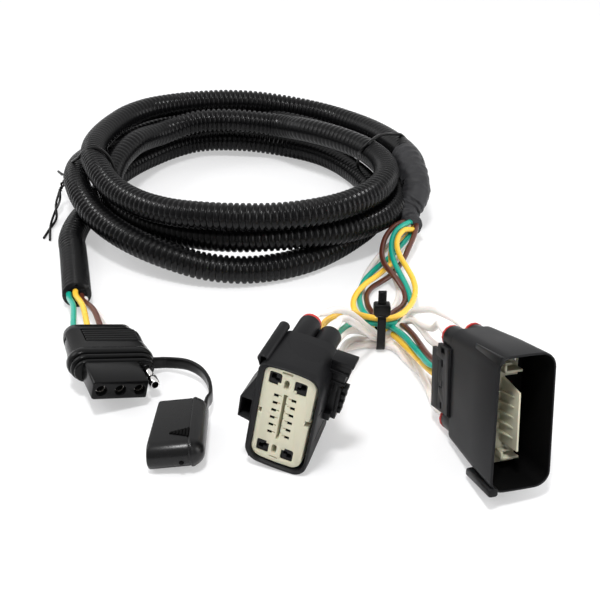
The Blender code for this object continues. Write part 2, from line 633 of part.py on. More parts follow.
def on_coil(radius, degrees, z):
    angle = math.radians(degrees)
    return Vector((COIL_CENTRE[0] + radius * math.cos(angle), COIL_CENTRE[1] + radius * math.sin(angle), z))


def coil_tie(name, degrees, tail, material, harness):
    """A wire tie over the ring: up its inner side, across the top, down outside and off in a tail."""
    off = TIE_WIRE / 2 + 2.5 * CLEAR
    step = COIL_OUTER - COIL_SHOULDER
    over = [(COIL_INNER - off, 1.5), (COIL_INNER - off, 12.0), (COIL_INNER - off, 26.0),
            (COIL_INNER - off, COIL_HEIGHT - 6.0), (COIL_INNER + 1.0, COIL_HEIGHT - 0.4),
            (COIL_INNER + 6.0, COIL_HEIGHT + off + 0.4), (COIL_INNER + 17.0, COIL_HEIGHT + off),
            (step - 6.0, COIL_HEIGHT + off + 0.4), (step - 0.5, COIL_HEIGHT - 0.2), (step + off + 0.3, COIL_HEIGHT - 8)]
    points = [on_coil(r, degrees, z) for r, z in over] + [Vector(p) for p in tail]
    cord(name, points, TIE_WIRE, material, harness, gap=3.6)


def loom_and_ties(harness):
    black = surface("corrugated black loom", BLACK, 0.45)
    coil(harness, black)
    tail = [(-136.3, 157.0, 8.1), (-131.9, 136.0, 8.1), (-128.9, 123.3, 8.1), (-125.8, 109.6, 8.1),
            (-122.6, 95.3, 8.1)]
    cord("loom_tail", tail, LOOM, black, harness, gap=0.7, sides=4)
    wrap = [(76.4, 240.6, 32.0), (77.2, 221.5, 30.0), (77.1, 203.0, 26.5), (75.8, 190.0, 22.0),
            (72.0, 184.0, 18.8), (70.6, 179.5, 17.3), (70.4, 175.7, 17.0)]
    cord("tape_wrap", wrap, TAPE, surface("matte black tape", BLACK, 0.7), harness, gap=0.5, taper=TAPE_END / TAPE,
         sides=4)
    tie = surface("twist tie", BLACK, 0.5)
    left = [(-152.4, 237.6, 24.0), (-156.6, 236.6, 12.0), (-159.2, 231.5, 4.0), (-159.3, 221.8, 1.2),
            (-159.2, 205.0, 0.8), (-158.4, 188.0, 0.8), (-156.5, 174.3, 0.8)]
    coil_tie("twist_tie_left", 176.0, left, tie, harness)
    right = [on_coil(COIL_OUTER - 2.4, 16.8, COIL_HEIGHT - 15.0), on_coil(COIL_OUTER + 0.6, 18.4, COIL_HEIGHT - 19.0),
             on_coil(COIL_OUTER + 4.5, 20.4, COIL_HEIGHT - 21.0)]
    coil_tie("twist_tie_right", 16.0, right, tie, harness)


# Zip tie

def zip_tie(harness):
    """A strap round the junction with its head behind it and its toothed tail standing up."""
    y0, y1 = ZIP_Y - ZIP_DEPTH / 2, ZIP_Y + ZIP_DEPTH / 2
    z0 = ZIP_THICK
    z1 = z0 + ZIP_HEIGHT
    x0, x1 = ZIP_X - ZIP_WIDTH / 2, ZIP_X + ZIP_WIDTH / 2
    t = ZIP_THICK
    inner = rounded(y0, y1, z0, z1, 1.8)
    outer = rounded(y0 - t, y1 + t, z0 - t, z1 + t, 1.8 + t)
    obj = piece("zip_tie", across(outer, x0, x1), surface("black nylon", BLACK, 0.35), harness)
    head = across([(ZIP_Y - 2.6, z1 + 0.4), (ZIP_Y + 2.6, z1 + 0.4), (ZIP_Y + 2.6, z1 + 5.4), (ZIP_Y - 2.6, z1 + 5.4)],
                  x0 - 1.2, x1 + 1.2)
    teeth = []
    for i in range(10):
        teeth += [(ZIP_Y + 1.6, z1 + 1.0 * i + 4.0), (ZIP_Y + 1.2, z1 + 1.0 * i + 4.5)]
    tail = across(teeth + [(ZIP_Y + 0.9, z1 + 15.0), (ZIP_Y, z1 + 15.0), (ZIP_Y, z1 + 4.0)], x0 + 0.2, x1 - 0.2)
    join(obj, head, tail)
    cut(obj, across(inner, x0 - 1.0, x1 + 1.0))


# Sixteen-way connectors

def way_rows(first):
    return [first + WAY_PITCH * i for i in range(WAYS)]


def square(x, z, size):
    return [(x - size / 2, z - size / 2), (x + size / 2, z - size / 2), (x + size / 2, z + size / 2),
            (x - size / 2, z + size / 2)]


def mat_outline(columns, first, grow=0.0):
    rows = way_rows(first)
    m = MAT_MARGIN + grow
    return rounded(columns[0] - m, columns[1] + m, rows[0] - m, rows[-1] + m, 1.5 + grow, 2)


def mat_seal(name, columns, first, rear, material, parent):
    """The rubber mat at the rear, with a hole for each small wire."""
    mat = piece(name, prism(mat_outline(columns, first), rear - MAT_THICK, rear - CLEAR), material, parent)
    holes = [prism(disc(x, z, WIRE / 2 + CLEAR, 8), rear - MAT_THICK - 1.0, rear + 1.0)
             for x in columns for z in way_rows(first)]
    cut(mat, several(holes))


def wire_seals(prefix, places, tube_end, material, parent):
    """A bush in the end of each tube with a flange outside it."""
    bore = WIRE / 2 + 1.5 * CLEAR
    bush = TUBE_BORE - CLEAR
    for i, (x, z) in enumerate(places):
        flange = tube_end + CLEAR
        ring = [(bore, flange - SEAL_REACH), (bush, flange - SEAL_REACH), (bush, flange), (TUBE_RADIUS, flange),
                (TUBE_RADIUS, flange + SEAL_FLANGE), (bore, flange + SEAL_FLANGE)]
        piece(f"{prefix}_wire_seal_{i + 1}", turned(ring, x, z, 14), material, parent)


def female(parent):
    black = surface("female housing black", BLACK, 0.42)
    cream = surface("female insert cream", CREAM, 0.45)
    shell = skin([at(rounded(0.0, F_WIDTH, 0.0, F_HEIGHT, F_CORNER, 4), 0.0),
                  at(rounded(0.0, F_WIDTH, 0.0, F_HEIGHT, F_CORNER, 4), F_DEPTH)])
    body = piece("female_housing", shell, black, parent)
    tube_end = F_DEPTH + F_TUBE
    join(body, several([prism(disc(x, z, TUBE_RADIUS, 14), F_DEPTH - 1.5, tube_end) for x, z in F_BIG]))
    low = F_HEIGHT + RAIL_PROUD - RAIL_HEIGHT
    rail = [(RAIL_WIDTH * (x - 0.8), low + RAIL_HEIGHT * z)
            for x, z in ((0.0, 0.0), (1.0, 0.0), (1.0, 1.0), (0.27, 1.0), (0.0, 0.895))]
    join(body, prism(rail, RAIL_START, F_DEPTH + RAIL_OVERHANG))
    w, h, base = LATCH_WIDTH, LATCH_HEIGHT, F_HEIGHT - LATCH_DROP
    latch = [[(x * w, LATCH_START + y * LATCH_DEPTH, base + z * h) for x, z in face] for y, face in (
        (0.0, ((-1.0, 0.0), (0.086, 0.0), (0.086, 0.512), (-1.0, 0.366))),
        (1.0, ((-1.0, 0.0), (0.086, 0.0), (0.086, 1.0), (-0.43, 1.0))))]
    join(body, skin(latch))
    side, top, low = F_SIDE_WALL, F_HEIGHT - F_TOP_WALL, F_BOTTOM_WALL
    corner = F_CORNER - F_SIDE_WALL + 0.8
    pocket = rounded(side, F_WIDTH - side, low, top, corner, 3)
    bulkhead = F_INSERT_DEPTH + 2 * CLEAR
    cut(body, prism(pocket, -1.0, bulkhead))
    cut(body, prism(mat_outline(F_COLUMNS, F_FIRST_ROW, CLEAR), F_DEPTH - MAT_THICK - CLEAR, F_DEPTH + 1.0))
    cut(body, several([prism(disc(x, z, TUBE_BORE, 12), F_DEPTH - 4.0, tube_end + 1.0) for x, z in F_BIG]))
    cut(body, box(-w * 0.857, -w * 0.143, LATCH_START - 1.0, LATCH_START + LATCH_DEPTH * 0.87,
                  base + h * 0.05, base + h * 0.337))

    g = CLEAR
    face = F_INSERT_SET
    insert = piece("female_insert", prism(rounded(side + g, F_WIDTH - side - g, low + g, top - g, corner, 3),
                                          face, face + F_INSERT_DEPTH - g), cream, parent)
    small = [prism(square(x, z, WAY_SIZE), -1.0, face + WAY_DEPTH) for x in F_COLUMNS for z in way_rows(F_FIRST_ROW)]
    middle = sum(F_COLUMNS) / 2
    rows = way_rows(F_FIRST_ROW)
    slots = [box(middle - SLOT_WIDTH / 2, middle + SLOT_WIDTH / 2, -1.0, face + SLOT_DEPTH,
                 rows[0] - WAY_SIZE * 0.84, rows[-1] + WAY_SIZE * 0.53)]
    for z in (F_BIG[0][1] - NOTCH_HEIGHT * 0.53, F_BIG_LOW - NOTCH_HEIGHT * 0.44):
        slots.append(box(middle - NOTCH_WIDTH / 2, middle + NOTCH_WIDTH / 2, -1.0, face + NOTCH_DEPTH,
                         z, z + NOTCH_HEIGHT))
    back = face + BIG_WAY_DEPTH
    big = [prism(square(x, z, BIG_WAY), -1.0, back) for x, z in F_BIG]
    cut(insert, several(small + slots + big))

    metal = surface("female terminal", (0.08, 0.08, 0.085), 0.4, 0.6)
    for i, (x, z) in enumerate(F_BIG):
        terminal = prism(square(x, z, TERMINAL_SIZE), back - TERMINAL_LENGTH_LARGE, back - g)
        terminal = piece(f"female_terminal_{i + 1}", terminal, metal, parent)
        half = BLADE_THICK / 2 + CLEAR
        slot = BLADE_WIDTH / 2 + CLEAR
        cut(terminal, box(x - half, x + half, back - TERMINAL_LENGTH_LARGE - 1.0, back - 6.0, z - slot, z + slot))

    red = surface("female seal red", RED, 0.5)
    wire_seals("female", F_BIG, tube_end, red, parent)
    mat_seal("female_mat_seal", F_COLUMNS, F_FIRST_ROW, F_DEPTH, red, parent)

    near = F_WIDTH + CLEAR
    foot = F_HEIGHT - RETAINER_DROP - RETAINER_HEIGHT
    edge = [(0.0, 0.0), (0.585, 0.0), (0.805, 0.163)]
    for i in range(4):
        z = 0.229 + 0.118 * i
        edge += [(0.976, z), (1.0, z + 0.059), (0.854, z + 0.072)]
    edge += [(0.634, 0.771), (0.634, 0.85), (0.927, 0.876), (0.927, 0.967), (0.0, 1.0)]
    edge = [(near + RETAINER_WIDTH * x, foot + RETAINER_HEIGHT * z) for x, z in edge]
    rear = F_DEPTH - RETAINER_BACK
    piece("female_side_retainer", prism(edge, rear - RETAINER_DEPTH, rear), surface("retainer black", BLACK, 0.4),
          parent)
    return tube_end


def male(parent):
    black = surface("male housing black", BLACK, 0.42)
    cream = surface("male insert cream", CREAM, 0.45)
    full = rounded(0.0, M_WIDTH, 0.0, M_HEIGHT, M_CORNER, 4)
    slim = rounded(0.0, M_WIDTH, M_TAPER, M_HEIGHT - M_TAPER, M_CORNER, 4)
    deep = M_SHROUD + M_INSERT_DEPTH + 2 * CLEAR
    body = piece("male_housing", skin([at(full, 0.0), at(full, deep), at(slim, M_DEPTH)]), black, parent)
    tube_end = M_DEPTH + M_TUBE
    join(body, several([prism(disc(x, z, TUBE_RADIUS, 14), M_DEPTH - M_TUBE_ROOT, tube_end) for x, z in M_BIG[:2]]))
    join(body, several([prism(disc(x, z, TUBE_RADIUS, 14), M_DEPTH - 4.0, tube_end) for x, z in M_BIG[2:]]))
    x0, x1, z1 = -KEY_PROUD, KEY_WIDTH - KEY_PROUD, M_HEIGHT + KEY_PROUD
    join(body, prism([(x0, z1 - KEY_HEIGHT), (x1, z1 - KEY_HEIGHT), (x1, z1), (x0, z1)], KEY_START, deep - 2 * CLEAR))
    x0, x1, z0 = -FOOT_WIDTH * 0.2, FOOT_WIDTH * 0.8, -FOOT_PROUD
    join(body, prism([(x0, z0), (x0 + FOOT_WIDTH * 0.65, z0), (x1, z0 + FOOT_HEIGHT), (x0, z0 + FOOT_HEIGHT)],
                     KEY_START + 0.5, deep))
    w = M_WALL
    cut(body, prism(rounded(w, M_WIDTH - w, w, M_HEIGHT - w, M_CORNER - w, 4), -1.0, deep))
    cut(body, prism(mat_outline(M_COLUMNS, M_FIRST_ROW, CLEAR), M_DEPTH - MAT_THICK - CLEAR, M_DEPTH + 1.0))
    cut(body, several([prism(disc(x, z, TUBE_BORE, 12), M_DEPTH - 6.0, tube_end + 1.0) for x, z in M_BIG]))
    root = deep + BLADE_ROOT
    half = BLADE_THICK / 2 + CLEAR
    slot = BLADE_WIDTH / 2 + CLEAR
    cut(body, several([box(x - half, x + half, deep - 1.0, root + CLEAR, z - slot, z + slot) for x, z in M_BIG]))

    g = CLEAR
    plate = prism(rounded(w + g, M_WIDTH - w - g, w + g, M_HEIGHT - w - g, M_CORNER - w - g, 4), M_SHROUD, deep - g)
    insert = piece("male_insert", plate, cream, parent)
    middle = sum(M_COLUMNS) / 2
    front = M_SHROUD - TONGUE_REACH
    rows = way_rows(M_FIRST_ROW)
    tongue = box(middle - TONGUE_THICK / 2, middle + TONGUE_THICK / 2, front, M_SHROUD + 1.0,
                 rows[0] - TONGUE_BELOW, rows[-1])
    join(insert, tongue)
    ribs = []
    for low, high in zip(rows, rows[1:]):
        z = (low + high) / 2
        x = middle - TONGUE_THICK / 2
        ribs.append(box(x - 0.6, x + 0.4, M_SHROUD - TONGUE_RIB, M_SHROUD + 1.0, z - 0.4, z + 0.4))
    join(insert, several(ribs))
    pins = [prism(square(x, z, PIN_SIZE), M_SHROUD - PIN_LENGTH, M_SHROUD + 1.0) for x in M_COLUMNS for z in rows]
    join(insert, several(pins))
    cut(insert, several([box(x - half, x + half, M_SHROUD - 1.0, deep + 1.0, z - slot, z + slot) for x, z in M_BIG]))

    metal = surface("male blade", METAL, 0.25, 1.0)
    for i, (x, z) in enumerate(M_BIG):
        blade = box(x - BLADE_THICK / 2, x + BLADE_THICK / 2, M_SHROUD - BLADE_REACH, root, z - BLADE_WIDTH / 2,
                    z + BLADE_WIDTH / 2)
        piece(f"male_blade_{i + 1}", blade, metal, parent)

    red = surface("male seal red", RED, 0.5)
    wire_seals("male", M_BIG, tube_end, red, parent)
    mat_seal("male_mat_seal", M_COLUMNS, M_FIRST_ROW, M_DEPTH, red, parent)

    z0 = M_HEIGHT / 2 + CLIP_UP - CLIP_HEIGHT / 2
    z1 = z0 + CLIP_HEIGHT
    rear = M_DEPTH + CLEAR
    clip = piece("male_clip_plate", prism([(0.0, z0), (CLIP_THICK, z0), (CLIP_THICK, z1), (0.0, z1)], rear,
                                          rear + CLIP_REACH), surface("clip black", BLACK, 0.42), parent)
    join(clip, box(0.2, CLIP_LIP, rear, rear + CLIP_THICK, z0 + 1.0, z1 - 1.0))
    y = rear + CLIP_REACH * 0.375
    cut(clip, several([box(-1.0, CLIP_LIP + 1.0, y, y + CLIP_SLOT, z - 1.8, z + 1.8) for z in (z0 + 3.5, z1 - 4.0)]))
    return tube_end


# Wires

def axis_end(empty, x, z, y, inside=2.0, steps=(6.5, 2.5)):
    """Points that bring a wire straight into a hole along y."""
    return [placed(empty, (x, y + step, z)) for step in steps] + [placed(empty, (x, y - inside, z))]


def junction_wires(harness, f, m, f_tube, m_tube):
    paint = {name: surface(f"{name} insulation", rgb, 0.35) for name, rgb in COLOURS.items()}
    f_rows, m_rows = way_rows(F_FIRST_ROW), way_rows(M_FIRST_ROW)
    f_ways = {"brown_front": (0, 2), "green_front": (0, 4), "yellow_front": (1, 5), "white_5": (1, 3)}
    m_ways = {"brown_rear": (0, 4), "green_rear": (1, 3), "yellow_rear": (0, 2), "white_5": (1, 5)}
    f_flange = f_tube + CLEAR + SEAL_FLANGE
    m_flange = m_tube + CLEAR + SEAL_FLANGE
    ends_f = {name: axis_end(f, F_COLUMNS[c], f_rows[r], F_DEPTH) for name, (c, r) in f_ways.items()}
    ends_m = {name: axis_end(m, M_COLUMNS[c], m_rows[r], M_DEPTH) for name, (c, r) in m_ways.items()}
    for i, (a, b) in enumerate(((0, 0), (1, 1), (3, 2), (2, 3))):
        ends_f[f"white_{i + 1}"] = axis_end(f, *F_BIG[a], f_flange)
        ends_m[f"white_{i + 1}"] = axis_end(m, *M_BIG[b], m_flange)
    for name, route in ROUTES.items():
        key = name.removeprefix("wire_")
        points = [Vector(p) for p in route]
        if key.startswith("white"):
            points = ends_f[key][::-1] + points + ends_m[key]
        else:
            lead = [points[0], points[0] - Vector((0.0, 3.5, 0.6))]
            points = lead + points[1:] + (ends_f if key in ends_f else ends_m)[key]
        cord(name, points, WIRE, paint[key.split("_")[0]], harness)


def plug_wires(harness, plug, rear):
    """Four wires from the loom's open end to the boot."""
    end = Vector((-122.6, 95.3, 8.1))
    along = Vector((6.8, -29.9, 0.0)).normalized()
    across_end = Vector((-along.y, along.x, 0.0))
    routes = {"green": ((-4.4, 1.2), (-120.3, 77.1, 12.0), -1.5),
              "yellow": ((-1.0, 2.6), (-116.5, 76.3, 12.5), -0.5),
              "brown": ((1.6, -0.8), (-111.1, 74.7, 11.0), 0.5),
              "white": ((4.4, -2.4), (-107.0, 74.5, 9.0), 1.5)}
    for name, ((side, up), middle, slot) in routes.items():
        start = end + along * 2 * CLEAR + across_end * side + Vector((0.0, 0.0, up))
        x = sum(boot_sides()) / 2 + 1.0 + slot * PLUG_WIRE_SPACING
        finish = [placed(plug, (x, rear + step, 0.0)) for step in (8.0, 3.0, CLEAR)]
        points = [start, start + along * 4.0, Vector(middle)] + finish
        cord(f"plug_wire_{name}", points, PLUG_WIRE, surface(f"{name} lead", COLOURS[name], 0.35), harness)


def main():
    clear_scene()
    harness = frame("harness", (-ORIGIN[0], -ORIGIN[1], 0.0))
    plug = frame("plug_frame", (-PLUG_LEFT, PLUG_BACK, PLUG_UP), PLUG_TURN, harness)
    cap = frame("cap_frame", (-CAP_LEFT, -CAP_FRONT, CAP_UP), CAP_TURN, harness)
    f = frame("female_frame", (-F_LEFT, -F_FRONT, F_UP), F_TURN, harness)
    m = frame("male_frame", (M_RIGHT, -M_FRONT, M_UP), M_TURN, harness)
    rear = flat_plug(plug)
    dust_cap(harness, plug, cap)
    loom_and_ties(harness)
    zip_tie(harness)
    f_tube = female(f)
    m_tube = male(m)
    junction_wires(harness, f, m, f_tube, m_tube)
    plug_wires(harness, plug, rear)


main()
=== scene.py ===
"""Studio view of the wiring harness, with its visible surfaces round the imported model."""

import math

import bmesh
import bpy
from mathutils import Matrix, Vector

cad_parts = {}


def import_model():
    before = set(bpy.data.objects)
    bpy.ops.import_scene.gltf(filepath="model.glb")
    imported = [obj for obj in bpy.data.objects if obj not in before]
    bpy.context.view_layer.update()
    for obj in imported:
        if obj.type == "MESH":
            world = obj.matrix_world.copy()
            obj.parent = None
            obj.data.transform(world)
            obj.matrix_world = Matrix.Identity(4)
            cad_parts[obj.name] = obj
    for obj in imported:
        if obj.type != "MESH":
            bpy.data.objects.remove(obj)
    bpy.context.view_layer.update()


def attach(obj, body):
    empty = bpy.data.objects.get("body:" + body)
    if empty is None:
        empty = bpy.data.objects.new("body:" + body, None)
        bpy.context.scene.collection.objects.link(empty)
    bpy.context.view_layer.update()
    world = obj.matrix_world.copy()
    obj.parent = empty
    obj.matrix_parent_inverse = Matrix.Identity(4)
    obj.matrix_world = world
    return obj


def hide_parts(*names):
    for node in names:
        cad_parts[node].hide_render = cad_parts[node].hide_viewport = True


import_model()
scene = bpy.context.scene
MM = 0.001
X_AXIS, Z_AXIS = Vector((1.0, 0.0, 0.0)), Vector((0.0, 0.0, 1.0))
SHIFT = Vector((6.2, 1.37, 0.0))  # from the layout's own origin to the model's, in mm

# The junction wires' points in the layout's mm, from the tape to just before the connector. The first
# five white ones run from connector to connector, the last two from the tape to the zip tie.
ROUTES = {
    "brown_front": (
        (64.4, 169.8, 16), (60.5, 165, 17), (56.1, 162.6, 15.5), (51.7, 155.9, 13.5), (48.9, 146.4, 12),
        (47.6, 135, 11), (48.8, 124.4, 10.5), (52, 116, 10), (55.4, 108.6, 8.5), (57.8, 102.4, 6.5),
        (58, 95.2, 5.5), (55.5, 86.8, 6), (51.6, 80.4, 7), (47.9, 75.5, 7.5), (44.3, 70.6, 8),
        (39.9, 68.5, 8), (34.4, 67.4, 9), (29.9, 63.7, 11), (25.1, 54.4, 15), (20.5, 42.5, 18),
        (14.9, 27.7, 21), (9.2, 15.1, 23.5)),
    "green_front": (
        (67.7, 171.8, 15), (65.2, 165.5, 17), (61.5, 161.7, 17), (57.6, 158, 15.5), (54.6, 149.7, 14),
        (53.3, 139.1, 12.5), (54.1, 126.2, 11.5), (57, 114.3, 9.5), (59.7, 104, 7.5), (60.7, 94.6, 6.5),
        (59.3, 83.1, 7), (55.8, 72.1, 8), (51.3, 64.3, 9.5), (46.8, 61.2, 10.5), (42.4, 60.5, 11),
        (38.3, 61.5, 11), (34, 62, 11.5), (29.6, 59.1, 13), (26.1, 52.9, 16), (22.5, 43.2, 20),
        (18.8, 32.2, 24), (14.1, 18, 28), (9, 4, 31.5)),
    "yellow_front": (
        (69.3, 166.8, 12), (66.6, 162.2, 14), (63.5, 159.6, 15.5), (60.4, 155, 16), (57.6, 148.1, 15.5),
        (56.5, 139.8, 14.5), (57.5, 129.8, 13.5), (60.4, 118.4, 12.5), (63, 108.2, 11), (63.6, 98.7, 10),
        (61.4, 86.6, 10), (57, 75.5, 11), (51.9, 66.9, 12.5), (46.7, 61.9, 13.7), (42.3, 60.6, 14.2),
        (38.1, 61.2, 14.5), (33.8, 61.1, 15.5), (29.5, 59.2, 18), (24.9, 54.1, 22), (20.3, 43.7, 28),
        (15.9, 32.5, 33), (12.1, 21.5, 37), (10.2, 12.5, 39), (9.6, 3, 39.5), (9.9, -5.4, 39.5)),
    "brown_rear": (
        (70.6, 172.4, 14), (70.4, 167.2, 13.5), (69.1, 161.4, 12), (66.9, 154.8, 10.3),
        (64.1, 147.8, 8.5), (61.1, 140.2, 6.5), (56.6, 131.5, 4.5), (51.7, 124.3, 3.5), (46, 118.1, 3),
        (40.4, 111.5, 3), (37.3, 103, 3.5), (36.9, 90.6, 5), (38, 81.8, 6.5), (40.3, 74.9, 7.5),
        (44.6, 73, 6), (48.5, 68.8, 7.5), (52.2, 62.6, 10), (55, 53.8, 12.5), (57.5, 42.9, 15),
        (59.2, 30.4, 18), (61, 17.9, 21), (64, 5.1, 25)),
    "green_rear": (
        (68.2, 168.1, 11), (66.2, 162.6, 10), (63.4, 157.9, 9), (60.3, 153.3, 8), (57, 149, 6.5),
        (53, 143.2, 5.5), (47.7, 136.1, 5), (42.2, 127.9, 4.5), (37.3, 119.3, 4), (33.8, 107.8, 4),
        (32.7, 96.1, 5), (33.2, 85.8, 6), (35.4, 74.9, 7.5), (39, 71.7, 6), (43.2, 68.4, 5.5),
        (47, 62.8, 8), (50, 55.2, 10.5), (53.4, 46.6, 12), (56.2, 33.6, 15), (58.7, 20.3, 18.5),
        (62.4, 7, 22)),
    "yellow_rear": (
        (68.5, 172, 8), (63.5, 168, 6.5), (58.5, 162, 6), (55, 153, 6), (53.3, 143.5, 6),
        (52.8, 134.5, 6.3), (48.7, 125.8, 7), (43.5, 117.2, 7.5), (37.2, 108.6, 7.8), (32.5, 99.8, 8),
        (29.5, 91, 8), (28.9, 82.5, 8), (30.6, 77.8, 7), (33.8, 75.1, 5.5), (38, 71.5, 4.2),
        (42.6, 67.5, 4), (46.6, 62.7, 5), (49.6, 54.3, 7), (53.2, 42.4, 9.5), (56.1, 31.3, 12),
        (58.9, 20.5, 14.5), (64.1, 5.9, 17.5)),
    "white_1": (
        (12.5, 15.6, 46), (15.5, 23.3, 42.5), (19.8, 32.3, 37), (24.7, 40.4, 30), (29.3, 46.9, 22.5),
        (33.8, 51.4, 15.5), (37.8, 54.2, 10.5), (41, 55.7, 7), (44.1, 57.5, 5.5), (47.9, 60.4, 6.5),
        (52.1, 61.3, 10), (55.9, 59, 14), (59.1, 50.8, 18.5), (61.7, 36.3, 25), (63.7, 22.3, 33),
        (64.8, 10.1, 43)),
    "white_2": (
        (18.6, 10.8, 45), (21.4, 19.7, 40), (24.9, 28.1, 33), (29.8, 37.7, 23.5), (35.3, 47.9, 13),
        (40.1, 54.5, 6), (43.5, 56.4, 4), (47.9, 58.9, 4), (52.1, 60, 8), (55.5, 60.5, 14),
        (57.7, 56.7, 21), (60.5, 48.6, 27), (64.4, 39.1, 33), (67.7, 26.2, 39), (73, 14.9, 42)),
    "white_3": (
        (16.1, 15.4, 9), (18.9, 30.5, 7), (21.3, 43, 6), (24.2, 52, 5), (29.8, 58.5, 3),
        (37.3, 58.6, 1.8), (43.6, 56.9, 1.8), (49.3, 54.7, 2), (55.3, 46.1, 2), (59.3, 30.4, 4),
        (62.2, 16.2, 3), (64.7, 1, 2)),
    "white_4": (
        (6.3, 18.4, 10.5), (11.8, 31.4, 7), (19, 45.7, 3.2), (26.4, 52, 2.2), (32.5, 54.2, 2),
        (40.3, 54.5, 1.8), (48.1, 52.3, 2), (54.6, 39.7, 2), (62.5, 25.3, 2), (71.2, 11.7, 2)),
    "white_5": (
        (10, -3.6, 31), (14.3, 12.5, 27), (18.7, 27.8, 23), (23.4, 42.5, 18), (28.8, 53, 12),
        (34, 58.6, 7), (39.1, 60.4, 3), (43.8, 59.9, 2.4), (48.3, 62.9, 3), (52.3, 63, 8),
        (55.3, 63.1, 13), (58, 54.5, 17), (61.1, 40.8, 20), (63.9, 26, 23), (68, 15.7, 26),
        (72.9, 7.8, 29)),
    "white_6": (
        (65.7, 168.2, 13), (61.8, 164.6, 10), (57.4, 162, 6.5), (53, 158.8, 4), (48.9, 152.9, 3),
        (45.1, 145.5, 2.2), (41.3, 136.6, 2), (37.7, 125.7, 2), (35.2, 113.4, 2), (34.6, 101.8, 2.2),
        (35.5, 90.4, 3.2), (38, 80.6, 4), (41.5, 74.4, 4)),
    "white_7": (
        (68.9, 165.6, 6), (65.2, 157.5, 4), (60.1, 147.8, 3), (55.5, 138.7, 2.5), (54.2, 129.5, 2.2),
        (55.3, 120.4, 2), (55.9, 111.2, 2), (54.6, 100.9, 2.4), (51.8, 91.1, 3.4), (48.1, 83.7, 4),
        (44.9, 77.5, 4))}


def world(point):
    """A layout point in mm as a point of the model in metres."""
    return (Vector(point) + SHIFT) * MM


class Local:
    """The frame of a connector: a layout point, with yaw, pitch and roll in degrees."""

    def __init__(self, origin, yaw, pitch, roll):
        angles = ((yaw, "Z"), (pitch, "X"), (roll, "Y"))
        turns = [Matrix.Rotation(math.radians(angle), 3, axis) for angle, axis in angles]
        self.turn = turns[0] @ turns[1] @ turns[2]
        self.origin = Vector(origin)

    def layout(self, point):
        return self.origin + self.turn @ Vector(point)

    def matrix(self):
        return Matrix.Translation(world(self.origin)) @ self.turn.to_4x4()


PLUG = Local((-81.4, 4.1, 11.3), 24.0, 0.0, 14.0)
CAP = Local((-58.7, -33.2, 1.1), 1.0, 0.0, -6.0)
FEMALE = Local((-23.0, -35.8, 4.35), -20.0, 2.0, 9.5)
MALE = Local((81.9, -67.3, 12.2), 20.0, -15.0, 5.0)
LAYOUT = Local((0.0, 0.0, 0.0), 0.0, 0.0, 0.0)


# Camera, floor and light

CAMERA = (0.0, -400.0, 302.4)  # in the layout's mm
CAMERA_TILT = 59.0
LENS, SENSOR = 62.9, 36.0
FLOOR_GLOW = 0.42  # lightens the shadows that the camera sees, as in the photograph
SKY_FRONT, SKY_BACK = 0.34, 0.86  # the sky's strength on the camera's side and behind the harness
LAMPS = (  # name, place and aim in metres, size, power
    ("key", (-0.05, -0.30, 1.10), (0.0, 0.1, 0.0), (0.16, 0.16), 8.5),
    ("side", (0.85, -0.15, 0.32), (0.0, 0.0, 0.02), (0.5, 0.5), 3.4),
    ("fill", (-0.9, 0.3, 0.8), (0.0, 0.05, 0.02), (0.6, 0.6), 4.0))


def put(target, inputs):
    for name, value in inputs.items():
        target.inputs[name].default_value = value


def placed(name, data):
    obj = bpy.data.objects.new(name, data)
    scene.collection.objects.link(obj)
    return obj


def node(tree, kind, **inputs):
    made = tree.nodes.new(kind)
    put(made, inputs)
    return made


def join(source, output, target, place):
    source.id_data.links.new(source.outputs[output], target.inputs[place])


def studio():
    data = bpy.data.cameras.new("camera")
    data.lens, data.sensor_width = LENS, SENSOR
    data.clip_start = 0.01
    camera = placed("camera", data)
    camera.location = world(CAMERA)
    camera.rotation_euler = (math.radians(CAMERA_TILT), 0.0, 0.0)
    scene.camera = camera
    scene.view_settings.view_transform = "Standard"

    bpy.ops.mesh.primitive_plane_add(size=6.0, location=(0.0, 1.0, 0.0))
    floor = bpy.context.object
    floor.name = "floor"
    material = bpy.data.materials.new("floor white")
    material.use_nodes = True
    shader = material.node_tree.nodes["Principled BSDF"]
    put(shader, {"Base Color": (0.93, 0.93, 0.94, 1.0), "Roughness": 0.5, "Specular IOR Level": 0.2})
    tree = material.node_tree
    lit = node(tree, "ShaderNodeEmission", Color=(1.0, 1.0, 1.0, 1.0), Strength=1.0)
    seen = node(tree, "ShaderNodeLightPath")
    share = tree.nodes.new("ShaderNodeMath")
    share.operation = "MULTIPLY"
    share.inputs[1].default_value = FLOOR_GLOW
    mixed = node(tree, "ShaderNodeMixShader")
    output = tree.nodes["Material Output"]
    join(seen, "Is Camera Ray", share, 0)
    join(share, 0, mixed, 0)
    join(shader, "BSDF", mixed, 1)
    join(lit, "Emission", mixed, 2)
    join(mixed, "Shader", output, "Surface")
    floor.data.materials.append(material)

    sky = bpy.data.worlds.new("sky")
    sky.use_nodes = True
    tree = sky.node_tree
    background = tree.nodes["Background"]
    put(background, {"Color": (1.0, 1.0, 1.0, 1.0)})
    place = node(tree, "ShaderNodeTexCoord")
    parts = node(tree, "ShaderNodeSeparateXYZ")
    ramp = node(tree, "ShaderNodeMapRange")
    put(ramp, {"From Min": -0.9, "From Max": 0.1, "To Min": SKY_FRONT, "To Max": SKY_BACK})
    join(place, "Generated", parts, 0)
    join(parts, "Y", ramp, "Value")
    join(ramp, "Result", background, "Strength")
    scene.world = sky
    for name, place, aim, size, power in LAMPS:
        light = bpy.data.lights.new(name, "AREA")
        light.shape, light.size, light.size_y = "RECTANGLE", *size
        light.energy = power
        lamp = placed(name, light)
        lamp.location = place
        lamp.rotation_euler = (Vector(aim) - Vector(place)).to_track_quat("-Z", "Y").to_euler()


studio()


# Materials

